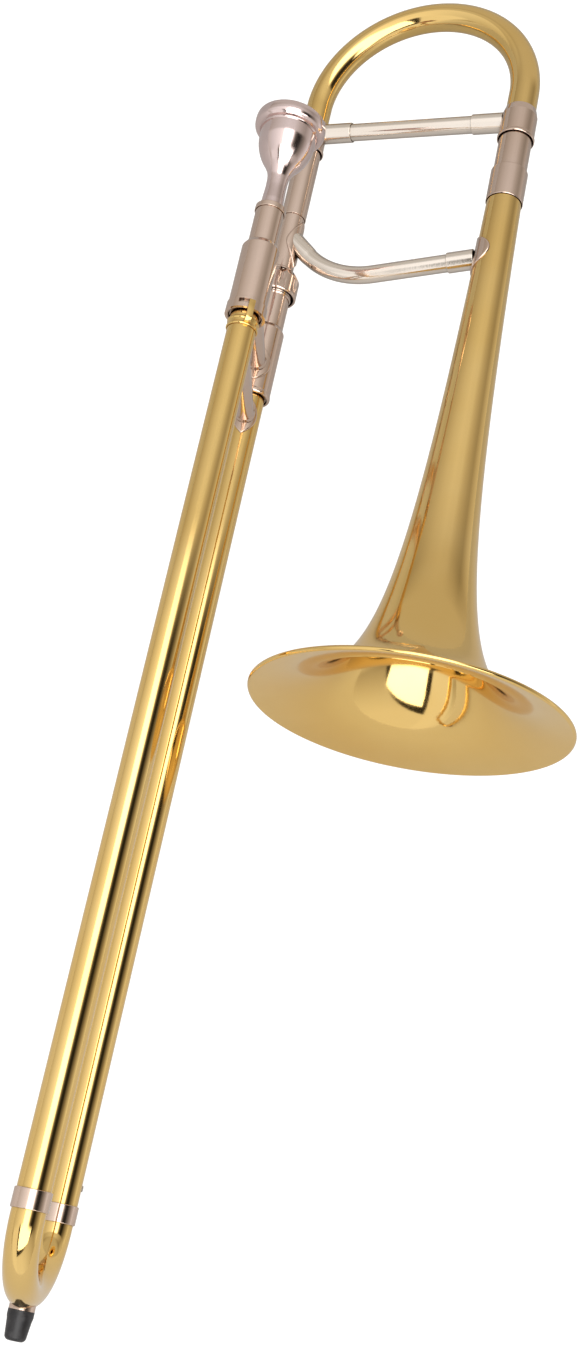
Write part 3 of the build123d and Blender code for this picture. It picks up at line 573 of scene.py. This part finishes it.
BRACE_TUBE = 5.0
BRACE_SOCKET = 5.75
BRACE_AT_NECK = (4.5, 292.5)
BRACE_CORNER = (32.5, 264.5)
BRACE_AT_BELL = (112.0, 275.0)
BRACE_BEND = 50.0


def bell_plane_point(reach, place):
    """Point in the plane through the neck and bell axes, a reach from the neck axis."""
    return NECK + TO_BELL * reach + ALONG * place


def brace_path():
    """The lower brace's centre line: down from the neck, round a bend, and across to the bell."""
    start = Vector(BRACE_AT_NECK)
    corner = Vector(BRACE_CORNER)
    end = Vector(BRACE_AT_BELL)
    back = (start - corner).normalized()
    ahead = (end - corner).normalized()
    half = back.angle(ahead) / 2
    reach = BRACE_BEND / math.tan(half)
    centre = corner + (back + ahead).normalized() * (BRACE_BEND / math.sin(half))
    first = corner + back * reach
    last = corner + ahead * reach
    path = [start.lerp(first, t) for t in (0, 0.5)]
    for i in range(33):
        arm = (first - centre).lerp(last - centre, i / 32)
        path.append(centre + arm.normalized() * BRACE_BEND)
    path += [last.lerp(end, t) for t in (0.3, 0.6, 0.9, 1)]
    return [bell_plane_point(p.x, p.y) for p in path]


def make_bell_brace():
    """Bent brace tube, widening a little where it meets the neck's flange."""
    path = brace_path()
    radii = [BRACE_TUBE + 0.5 * max(0.0, 1 - i / 4) for i in range(len(path))]
    return swept("bell_brace_tube_soft", path, radii, TUBE_WALL)


# The braces use the brightened nickel: painted highlight.
dress(make_bell_brace(), "bell_brace_tube", "brace_nickel_painted_highlight")


def make_brace_socket():
    """Socket on the bell's flange that holds the brace's end."""
    end = bell_plane_point(*BRACE_AT_BELL)
    direction = (end - bell_plane_point(*BRACE_CORNER)).normalized()
    outline = [(BRACE_TUBE, -12), (BRACE_SOCKET, -12), (BRACE_SOCKET, 3.2), (BRACE_TUBE, 3.2)]
    return turned("bell_brace_socket_soft", end, direction, soften(outline, 0.35), 72)


# Painted highlight: brightened nickel on the brace socket.
dress(make_brace_socket(), "bell_brace_socket", "brace_nickel_painted_highlight")
dress(
    saddle("bell_brace_flange_bell_soft", BELL, bell_radius, -TO_BELL, 275.5, 11, None, 0.8),
    "bell_brace_flange_bell",
)
dress(
    saddle("bell_brace_flange_neck_soft", NECK, lambda y: 6.87, TO_BELL, 290, 16, 6.6, 0.93),
    "bell_brace_flange_neck",
)

# ---------------------------------------------------------------- bell lock nut

NUT_FLUTES = 8


def make_nut():
    """Finger nut: eight scallops with rounded lands between them, and a tapered shoulder."""
    start, end = node_ends("bell_lock_nut")
    radius = node_radius("bell_lock_nut")

    def flutes(reach, place, angle):
        if reach < radius - 2.6:
            return reach
        share = min(1.0, max(0.0, (place - start - 1.8) / 1.6))
        wave = max(0.0, math.cos(NUT_FLUTES * angle)) ** 0.8
        return reach - 1.7 * wave * share

    outline = [
        (9.36, start + 4.8), (10.6, start + 4.4), (10.6, start + 0.4), (11.1, start), (radius - 0.5, start),
        (radius, start + 0.7), (radius, start + 4),
        (radius, end - 7),
        (radius, end - 4), (radius - 2.5, end), (8.06, end), (8.06, start + 9.6), (9.36, start + 9.6),
    ]
    return turned("bell_lock_nut_soft", NECK, ALONG, soften(outline, 0.45), 192, flutes)


dress(make_nut(), "bell_lock_nut")

# ---------------------------------------------------------------- tuning slide

CROOK_START = 366.0
CROOK_CENTRE = 389.0
BELL_CROOK = 8.7
NECK_CROOK = 7.45


def make_crook():
    """Tuning crook: a half circle between two straight ends, narrowing from the bell side to the neck."""
    bend = BELL_TO_NECK / 2
    straight = eased(CROOK_START, CROOK_CENTRE, 6)
    path = [bell_plane_point(BELL_TO_NECK, y) for y in straight[:-1]]
    for i in range(129):
        angle = math.pi * i / 128
        path.append(bell_plane_point(bend + bend * math.cos(angle), CROOK_CENTRE + bend * math.sin(angle)))
    path += [bell_plane_point(0, y) for y in straight[-2::-1]]
    travelled = [0.0]
    for near, far in zip(path, path[1:]):
        travelled.append(travelled[-1] + (far - near).length)
    radii = [BELL_CROOK + (NECK_CROOK - BELL_CROOK) * run / travelled[-1] for run in travelled]
    return swept("tuning_crook_soft", path, radii, TUBE_WALL, 96)


dress(make_crook(), "tuning_crook")


def make_crook_ferrule(node, axis, leg, crook):
    """Ferrule at one end of the crook: a bead at its open end and a taper down to the crook."""
    start, end = node_ends(node)
    widest = node_radius(node)
    radius = widest - 0.5
    outline = [
        (leg, start + 1.8), (widest - 0.45, start), (widest, start + 0.5), (widest, start + 1.8),
        (radius, start + 2.4), (radius, end - 4.5),
        (crook + 0.35, end), (crook, end), (crook, start + 10.5), (leg, start + 10.5),
    ]
    return turned(node + "_soft", axis, ALONG, soften(outline, 0.5))


dress(make_crook_ferrule("crook_ferrule_bell", BELL, 8.88, BELL_CROOK + 0.05), "crook_ferrule_bell")
dress(make_crook_ferrule("crook_ferrule_neck", NECK, 6.92, NECK_CROOK + 0.05), "crook_ferrule_neck")

TUNING_BRACE = 369.5
SOCKET_LENGTH = 17.0
BRACE_FROM = 8.2
BRACE_TO = BELL_TO_NECK - 10.2


def cross_tube(name, direction, place, bore, radius, start, end, corner=0.3):
    """A tube square to the neck axis, along a direction, at one place along Y."""
    outline = [(bore, start), (radius, start), (radius, end), (bore, end)]
    return turned(name, NECK + ALONG * place, direction, soften(outline, corner), 72)


def make_tuning_brace_sockets():
    """The two sockets that join the upper brace to the crook's ferrules."""
    neck_end = cross_tube(
        "socket_a", TO_BELL, TUNING_BRACE, BRACE_TUBE, BRACE_SOCKET,
        BRACE_FROM - 1.6, BRACE_FROM + SOCKET_LENGTH,
    )
    bell_end = cross_tube(
        "socket_b", TO_BELL, TUNING_BRACE, BRACE_TUBE, BRACE_SOCKET, BRACE_TO - SOCKET_LENGTH, BRACE_TO + 1.4
    )
    return joined("tuning_brace_sockets_soft", neck_end, bell_end)


# Painted highlight: brightened nickel on the upper brace and its sockets.
dress(
    cross_tube(
        "tuning_brace_tube_soft", TO_BELL, TUNING_BRACE, BRACE_TUBE - TUBE_WALL, BRACE_TUBE,
        BRACE_FROM + 2, BRACE_TO - 2,
    ),
    "tuning_brace_tube",
    "brace_nickel_painted_highlight",
)
dress(make_tuning_brace_sockets(), "tuning_brace_sockets", "brace_nickel_painted_highlight")

# ---------------------------------------------------------------- inner slide


def make_receiver():
    """Mouthpiece receiver: a short tube that the mouthpiece's shank drops into."""
    end = node_ends("mouthpiece_receiver")[1]
    outline = [
        (7.0, 222.2), (7.0, 230.05), (7.65, 230.05), (7.65, end), (5.98, end), (5.5, 234), (6.35, 222.2),
    ]
    return turned("mouthpiece_receiver_soft", MOUTH, ALONG, soften(outline, 0.2))


dress(make_receiver(), "mouthpiece_receiver")


def make_lip():
    """Rounded ring round the receiver's mouth."""
    start, end = node_ends("receiver_lip")
    return band("receiver_lip_soft", MOUTH, 7.66, node_radius("receiver_lip"), start, end, 0.55)


dress(make_lip(), "receiver_lip")

BARREL = 10.1


def make_upper_barrel():
    """Cork barrel of the upper tube: stepped in below for the lock ring, rounded shoulder above."""
    start, end = node_ends("cork_barrel_upper")
    outline = [
        (8.85, start), (9.34, start), (9.34, 192.06), (BARREL, 192.06), (BARREL, end - 2.6),
        (BARREL - 1.5, end), (7.02, end), (7.02, 222.1), (6.77, 222.1), (6.77, 214), (8.75, 214),
    ]
    return turned("cork_barrel_upper_soft", MOUTH, ALONG, soften(outline, 0.5))


dress(make_upper_barrel(), "cork_barrel_upper")


def make_lower_barrel():
    """Cork barrel of the lower tube: a bead near its open end and a rounded shoulder above."""
    start, end = node_ends("cork_barrel_lower")
    outline = [
        (8.75, start), (BARREL - 0.2, start), (BARREL + 0.3, start + 0.8), (BARREL + 0.3, start + 2.3),
        (BARREL, start + 3), (BARREL, end - 2.6), (BARREL - 1.4, end), (6.77, end), (6.77, 214), (8.75, 214),
    ]
    return turned("cork_barrel_lower_soft", NECK, ALONG, soften(outline, 0.4))


dress(make_lower_barrel(), "cork_barrel_lower")


def make_bell_receiver():
    """Receiver that the bell section screws on to, with four turns of thread under the nut."""
    start, end = node_ends("bell_receiver")
    thread = node_radius("bell_receiver")
    outline = [(6.35, start), (8.7, start), (8.7, 252)]
    for i in range(5):
        outline += [(thread, 252.8 + 1.3 * i), (thread - 0.5, 253.45 + 1.3 * i)]
    outline += [(thread, end), (7.36, end), (7.26, 244), (6.35, 244)]
    return turned("bell_receiver_soft", NECK, ALONG, soften(outline, 0.12))


dress(make_bell_receiver(), "bell_receiver")

INNER_BRACE = 204.0
OUTER_BRACE = 171.5
FLANGE = 0.8
OUTER_SLIDE = node_radius("outer_slide_tube_upper")


def make_slide_brace(node, place, tube_radius):
    """Brace tube between the two stacks, flared a little into each flange."""
    start = tube_radius + FLANGE - 0.3
    end = SLIDE_SPACING - start
    outline = [
        (BRACE_TUBE - TUBE_WALL, start), (BRACE_TUBE + 0.7, start), (BRACE_TUBE, start + 2.2),
        (BRACE_TUBE, end - 2.2), (BRACE_TUBE + 0.7, end), (BRACE_TUBE - TUBE_WALL, end),
    ]
    return turned(node + "_soft", NECK + ALONG * place, TO_MOUTH, soften(outline, 1.2), 72)


def make_brace_flanges(node, place, tube_radius, half_length, half_width):
    """The two pointed oval flanges that hold a brace's ends."""
    size = (half_length, half_width, FLANGE)
    lower = saddle("flange_a", NECK, lambda y: tube_radius, TO_MOUTH, place, *size)
    upper = saddle("flange_b", MOUTH, lambda y: tube_radius, -TO_MOUTH, place, *size)
    return joined(node + "_soft", lower, upper)


dress(make_slide_brace("inner_brace_tube", INNER_BRACE, BARREL), "inner_brace_tube")
dress(make_brace_flanges("inner_brace_flanges", INNER_BRACE, BARREL + 0.02, 11, 7.5), "inner_brace_flanges")

# ---------------------------------------------------------------- outer slide

dress(make_tube("outer_slide_tube_upper", MOUTH, 0.6, 0.15, 128), "outer_slide_tube_upper")
dress(make_tube("outer_slide_tube_lower", NECK, 0.6, 0.15, 128), "outer_slide_tube_lower")
dress(make_slide_brace("outer_brace_tube", OUTER_BRACE, OUTER_SLIDE), "outer_brace_tube")
dress(
    make_brace_flanges("outer_brace_flanges", OUTER_BRACE, OUTER_SLIDE + 0.02, 12, 6.2),
    "outer_brace_flanges",
)


LUG_DIRECTION = Vector((math.cos(math.radians(86)), 0, math.sin(math.radians(86))))
LUG_WIDTH = 3.4
TOOTH_WIDTH = 2.4


def make_lug_ring():
    """Ring round the top of the upper outer tube with a bead at each edge, and the slide lock's lug on it."""
    start, end = node_ends("lock_lug_ring")
    ring_end = start + 5
    outline = [
        (OUTER_SLIDE + 0.01, start),
        (8.1, start), (8.42, start + 0.5), (8.42, start + 1.1), (8.1, start + 1.6),
        (8.1, ring_end - 1.6), (8.42, ring_end - 1.1), (8.42, ring_end - 0.5), (8.1, ring_end),
        (OUTER_SLIDE + 0.01, ring_end),
    ]
    ring = turned("ring", MOUTH, ALONG, soften(outline, 0.3))
    arm_outline = [
        (8.0, start + 0.6), (10.3, start + 0.6), (11.8, start + 2.6), (11.8, end), (10.75, end),
        (10.75, ring_end + 1), (8.0, ring_end - 0.1),
    ]
    arm = plate("arm", MOUTH, LUG_DIRECTION, arm_outline, LUG_WIDTH, 0.3)
    tooth_outline = [(9.65, end - 1.75), (11.2, end - 1.75), (11.2, end - 0.05), (9.65, end - 0.05)]
    tooth = plate("tooth", MOUTH, LUG_DIRECTION, tooth_outline, TOOTH_WIDTH, 0.2)
    return joined("lock_lug_ring_soft", ring, arm, tooth)


dress(make_lug_ring(), "lock_lug_ring")


def make_bow_ferrules():
    """The two ferrules that join the slide tubes to the bow."""
    start, end = node_ends("bow_ferrules")
    upper = band("ferrule_a", MOUTH, OUTER_SLIDE + 0.01, 8.45, start, end, 0.4)
    lower = band("ferrule_b", NECK, OUTER_SLIDE + 0.01, 8.45, start, end, 0.4)
    return joined("bow_ferrules_soft", upper, lower)


dress(make_bow_ferrules(), "bow_ferrules")

BOW_START = -260.1
BOW_BEND = -265.5
BOW_DEPTH = 30.0


def make_bow():
    """Slide bow: a half ellipse between two short straight ends."""
    half = SLIDE_SPACING / 2
    path = []
    for place in eased(BOW_START, BOW_BEND, 4)[:-1]:
        path.append(NECK + ALONG * place)
    for i in range(129):
        angle = math.pi * i / 128
        reach = half - half * math.cos(angle)
        path.append(NECK + TO_MOUTH * reach + ALONG * (BOW_BEND - BOW_DEPTH * math.sin(angle)))
    for place in eased(BOW_BEND, BOW_START, 4)[1:]:
        path.append(MOUTH + ALONG * place)
    return swept("slide_bow_soft", path, [OUTER_SLIDE] * len(path), 0.6, 96)


dress(make_bow(), "slide_bow")


SPIGOT_HOLE = 6.3


def make_bumper():
    """Rubber bumper: a tapered plug with a rounded tip, and a skirt up round its socket."""
    tip = node_ends("rubber_bumper")[0]
    seat = -304.62
    top = seat - SPIGOT_HOLE
    outline = [
        (3.02, seat), (5.7, seat), (5.7, seat + 1.2), (5.95, seat + 1.2), (5.95, seat - 1.5), (5.6, seat - 3),
        (4.7, tip + 0.6), (0.02, tip + 0.6), (0.02, top), (3.02, top),
    ]
    return turned("rubber_bumper_soft", BUMPER, ALONG, soften(outline, 2.6))


dress(make_bumper(), "rubber_bumper")

# ---------------------------------------------------------------- mouthpiece


def smooth_curve(points, steps=10):
    """A smooth curve through points (Catmull-Rom)."""
    points = [Vector(p) for p in points]
    padded = [2 * points[0] - points[1]] + points + [2 * points[-1] - points[-2]]
    curve = []
    for a, b, c, d in zip(padded, padded[1:], padded[2:], padded[3:]):
        for i in range(steps):
            t = i / steps
            bend = (2 * a - 5 * b + 4 * c - d) * t**2
            twist = (3 * b - a - 3 * c + d) * t**3
            curve.append((2 * b + (c - a) * t + bend + twist) / 2)
    return curve + [points[-1]]


def make_mouthpiece():
    """Cup mouthpiece: tapered shank, round bowl, a step, and a broad rim round the cup."""
    outside = smooth_curve([(6.0, 258), (5.6, 268), (6.1, 275), (8.2, 280), (11.2, 284.5), (13.6, 289.5),
                            (15.0, 295), (15.5, 302.6)])
    rim = smooth_curve([(17.6, 303.3), (18.9, 305), (19.2, 308), (18.7, 310.8), (17.0, 312), (15.2, 312),
                        (13.6, 311), (12.5, 308.5)], 6)
    cup = smooth_curve([(12.5, 308.5), (11.6, 301), (8.4, 292.5), (3.2, 287)])
    outline = [(4.95, 234), (5.45, 234)] + outside + [(15.9, 303.1)] + rim + cup[1:] + [(3.2, 279)]
    return turned("mouthpiece_soft", MOUTH, ALONG, outline, 160)


dress(make_mouthpiece(), "mouthpiece")

# ---------------------------------------------------------------- studio

# Levels of light round the long axis, in degrees from straight up and positive towards +X.
# Facing the window: a bright panel overhead with a black flag beside it.
WINDOW_SIDE = (
    (-180, 0.6), (-123, 0.6), (-90, 0.62), (-62, 0.85), (-40, 1.08), (-28, 1.3), (-22, 3.0), (6, 3.0),
    (12, 1.2), (18, 0.22), (27, 0.03), (40, 0.02), (48, 0.12), (58, 0.25), (75, 0.55), (95, 1.0),
    (112, 1.25), (140, 0.9), (180, 0.6),
)
# Beyond the window: a soft ceiling with gentle steps.
CEILING_SIDE = (
    (-180, 0.30), (-135, 0.32), (-100, 0.42), (-72, 0.56), (-45, 0.70), (-15, 0.80), (9, 0.76), (27, 0.58),
    (47, 0.43), (58, 0.38), (75, 0.55), (105, 0.80), (140, 0.5), (180, 0.30),
)
BRIGHTEST = 3.0
WINDOW_EDGE = 0.39
FRONT_EDGE = -0.3
END_LEVEL = 0.57
FLAG_LEVEL = 0.03
SOFTBOX_LEVEL = 0.95


def calculate(nodes, links, operation, *values):
    """A math node fed by sockets or numbers."""
    node = nodes.new("ShaderNodeMath")
    node.operation = operation
    for socket, value in zip(node.inputs, values):
        if isinstance(value, (int, float)):
            socket.default_value = value
        else:
            links.new(value, socket)
    return node.outputs[0]


def level_ramp(nodes, links, around, stops):
    """Looks up a level of light by the angle round the long axis."""
    ramp = nodes.new("ShaderNodeValToRGB")
    elements = ramp.color_ramp.elements
    while len(elements) < len(stops):
        elements.new(0.5)
    for element, (degrees, level) in zip(elements, stops):
        element.position = (degrees + 180) / 360
        element.color = (level / BRIGHTEST,) * 3 + (1,)
    links.new(around, ramp.inputs["Fac"])
    return calculate(nodes, links, "MULTIPLY", ramp.outputs["Color"], BRIGHTEST)


def mix_levels(nodes, links, factor, first, second):
    """Mixes two levels: first where the factor is 0, second where it is 1."""
    mix = nodes.new("ShaderNodeMix")
    mix.data_type = "FLOAT"
    for socket, value in zip((mix.inputs[0], mix.inputs[2], mix.inputs[3]), (factor, first, second)):
        if isinstance(value, (int, float)):
            socket.default_value = value
        else:
            links.new(value, socket)
    return mix.outputs[0]


def gate(nodes, links, value, edge, softness):
    """0 below an edge, 1 above it, with a soft step. A negative softness turns the step round."""
    return remap(nodes, links, value, edge - softness, edge + softness, 0.0, 1.0)


def front_level(nodes, links, split):
    """In front: the window's near end in its dark frame, a softbox to the left and a pale wall."""
    height = calculate(nodes, links, "MAXIMUM", split.outputs["Z"], 0.03)
    sideways = calculate(nodes, links, "DIVIDE", split.outputs["X"], height)
    ahead = calculate(nodes, links, "DIVIDE", split.outputs["Y"], height)
    wall = remap(nodes, links, split.outputs["Y"], -0.92, -0.35, 0.9, 0.48)
    softbox = calculate(
        nodes, links, "MULTIPLY",
        gate(nodes, links, sideways, -0.99, -0.03), gate(nodes, links, sideways, -8.0, 3.0),
    )
    wall = mix_levels(nodes, links, softbox, wall, SOFTBOX_LEVEL)
    frame_end = calculate(nodes, links, "MULTIPLY_ADD", sideways, -1.2, ahead)
    framed = calculate(nodes, links, "MULTIPLY", gate(nodes, links, frame_end, -1.75, 0.1),
                       gate(nodes, links, sideways, -0.95, 0.03))
    framed = calculate(nodes, links, "MULTIPLY", framed, gate(nodes, links, sideways, 1.25, -0.2))
    level = mix_levels(nodes, links, framed, wall, FLAG_LEVEL)
    window_end = calculate(nodes, links, "MULTIPLY_ADD", sideways, -0.6, ahead)
    lit = calculate(nodes, links, "MULTIPLY", gate(nodes, links, window_end, -1.33, 0.03),
                    gate(nodes, links, sideways, -0.7, 0.02))
    lit = calculate(nodes, links, "MULTIPLY", lit, gate(nodes, links, sideways, 0.76, -0.03))
    return mix_levels(nodes, links, lit, level, BRIGHTEST)


def make_world():
    """Soft studio: a window panel and a flag overhead, a softer ceiling beyond, a softbox in front."""
    world = bpy.data.worlds.new("studio")
    bpy.context.scene.world = world
    world.use_nodes = True
    nodes, links = world.node_tree.nodes, world.node_tree.links
    nodes.clear()
    coordinates = nodes.new("ShaderNodeTexCoord")
    split = nodes.new("ShaderNodeSeparateXYZ")
    links.new(coordinates.outputs["Generated"], split.inputs["Vector"])
    angle = calculate(nodes, links, "ARCTAN2", split.outputs["X"], split.outputs["Z"])
    around = remap(nodes, links, angle, -math.pi, math.pi, 0.0, 1.0)
    ahead = split.outputs["Y"]
    window = level_ramp(nodes, links, around, WINDOW_SIDE)
    ceiling = level_ramp(nodes, links, around, CEILING_SIDE)
    front = front_level(nodes, links, split)
    dimming = remap(nodes, links, ahead, 0.57, 0.65, 1.0, 0.76)
    ceiling = calculate(nodes, links, "MULTIPLY", ceiling, dimming)
    far_end = remap(nodes, links, ahead, 0.64, 0.76, 0.0, 1.0)
    ceiling = mix_levels(nodes, links, far_end, ceiling, END_LEVEL)
    beyond = remap(nodes, links, ahead, WINDOW_EDGE - 0.03, WINDOW_EDGE + 0.03, 0.0, 1.0)
    level = mix_levels(nodes, links, beyond, window, ceiling)
    in_front = remap(nodes, links, ahead, FRONT_EDGE + 0.08, FRONT_EDGE - 0.08, 0.0, 1.0)
    level = mix_levels(nodes, links, in_front, level, front)
    tint = blend_colours(
        nodes, links, remap(nodes, links, level, 0.25, 0.8, 0.0, 1.0), (1.0, 0.92, 0.80), (1.0, 1.0, 1.0)
    )
    path = nodes.new("ShaderNodeLightPath")
    level = mix_levels(nodes, links, path.outputs["Is Camera Ray"], level, 1.0)
    background = nodes.new("ShaderNodeBackground")
    links.new(tint, background.inputs["Color"])
    links.new(level, background.inputs["Strength"])
    out = nodes.new("ShaderNodeOutputWorld")
    links.new(background.outputs[0], out.inputs["Surface"])


def make_floor():
    """Pale plain floor at the bottom of the part. It glows: a painted pool of light for reflections, brighter
    in front than behind; it looks white itself.
    """
    size = 6.0
    height = cad_box[0][2] - 0.0002
    mesh = bpy.data.meshes.new("floor")
    corners = [(-size, -size, height), (size, -size, height), (size, size, height), (-size, size, height)]
    mesh.from_pydata(corners, [], [(0, 1, 2, 3)])
    floor = bpy.data.objects.new("floor", mesh)
    bpy.context.scene.collection.objects.link(floor)
    material, nodes, links, shader = new_material("pale_floor")
    shader.inputs["Base Color"].default_value = (0.25, 0.25, 0.25, 1)
    shader.inputs["Roughness"].default_value = 0.95
    shader.inputs["Emission Color"].default_value = (1, 0.98, 0.96, 1)
    coordinates = nodes.new("ShaderNodeTexCoord")
    split = nodes.new("ShaderNodeSeparateXYZ")
    links.new(coordinates.outputs["Object"], split.inputs["Vector"])
    # Painted light: emission, not lamps, makes the floor brighter in front than behind where it is seen in
    # reflections.
    painted_light_pool = remap(nodes, links, split.outputs["Y"], -0.1, 0.45, 0.38, 0.16)
    path = nodes.new("ShaderNodeLightPath")
    seen = mix_levels(nodes, links, path.outputs["Is Camera Ray"], painted_light_pool, 0.92)
    links.new(seen, shader.inputs["Emission Strength"])
    mesh.materials.append(material)


AZIMUTH = math.radians(-26.08)
ELEVATION = math.radians(66.97)
ROLL = math.radians(40.0)
CAMERA_DISTANCE = 0.845
LENS = 46.02
AIM_ACROSS = 0.3606
AIM_ALONG = 0.4164


def make_camera():
    """The viewing angle, aimed at a point set by the part's box."""
    low, high = Vector(cad_box[0]), Vector(cad_box[1])
    aim = Vector((low.x + (high.x - low.x) * AIM_ACROSS, low.y + (high.y - low.y) * AIM_ALONG, 0))
    forward = Vector((
        -math.sin(AZIMUTH) * math.cos(ELEVATION),
        math.cos(AZIMUTH) * math.cos(ELEVATION),
        -math.sin(ELEVATION),
    ))
    level_right = forward.cross(Vector((0, 0, 1))).normalized()
    level_up = level_right.cross(forward)
    right = level_right * math.cos(ROLL) + level_up * math.sin(ROLL)
    up = right.cross(forward)
    camera_data = bpy.data.cameras.new("camera")
    camera_data.lens = LENS
    camera_data.clip_start = 0.01
    camera = bpy.data.objects.new("camera", camera_data)
    bpy.context.scene.collection.objects.link(camera)
    turn = Matrix((right, up, -forward)).transposed().to_4x4()
    camera.matrix_world = Matrix.Translation(aim - forward * CAMERA_DISTANCE) @ turn
    bpy.context.scene.camera = camera


make_world()
make_floor()
make_camera()
bpy.context.scene.view_settings.view_transform = "Standard"
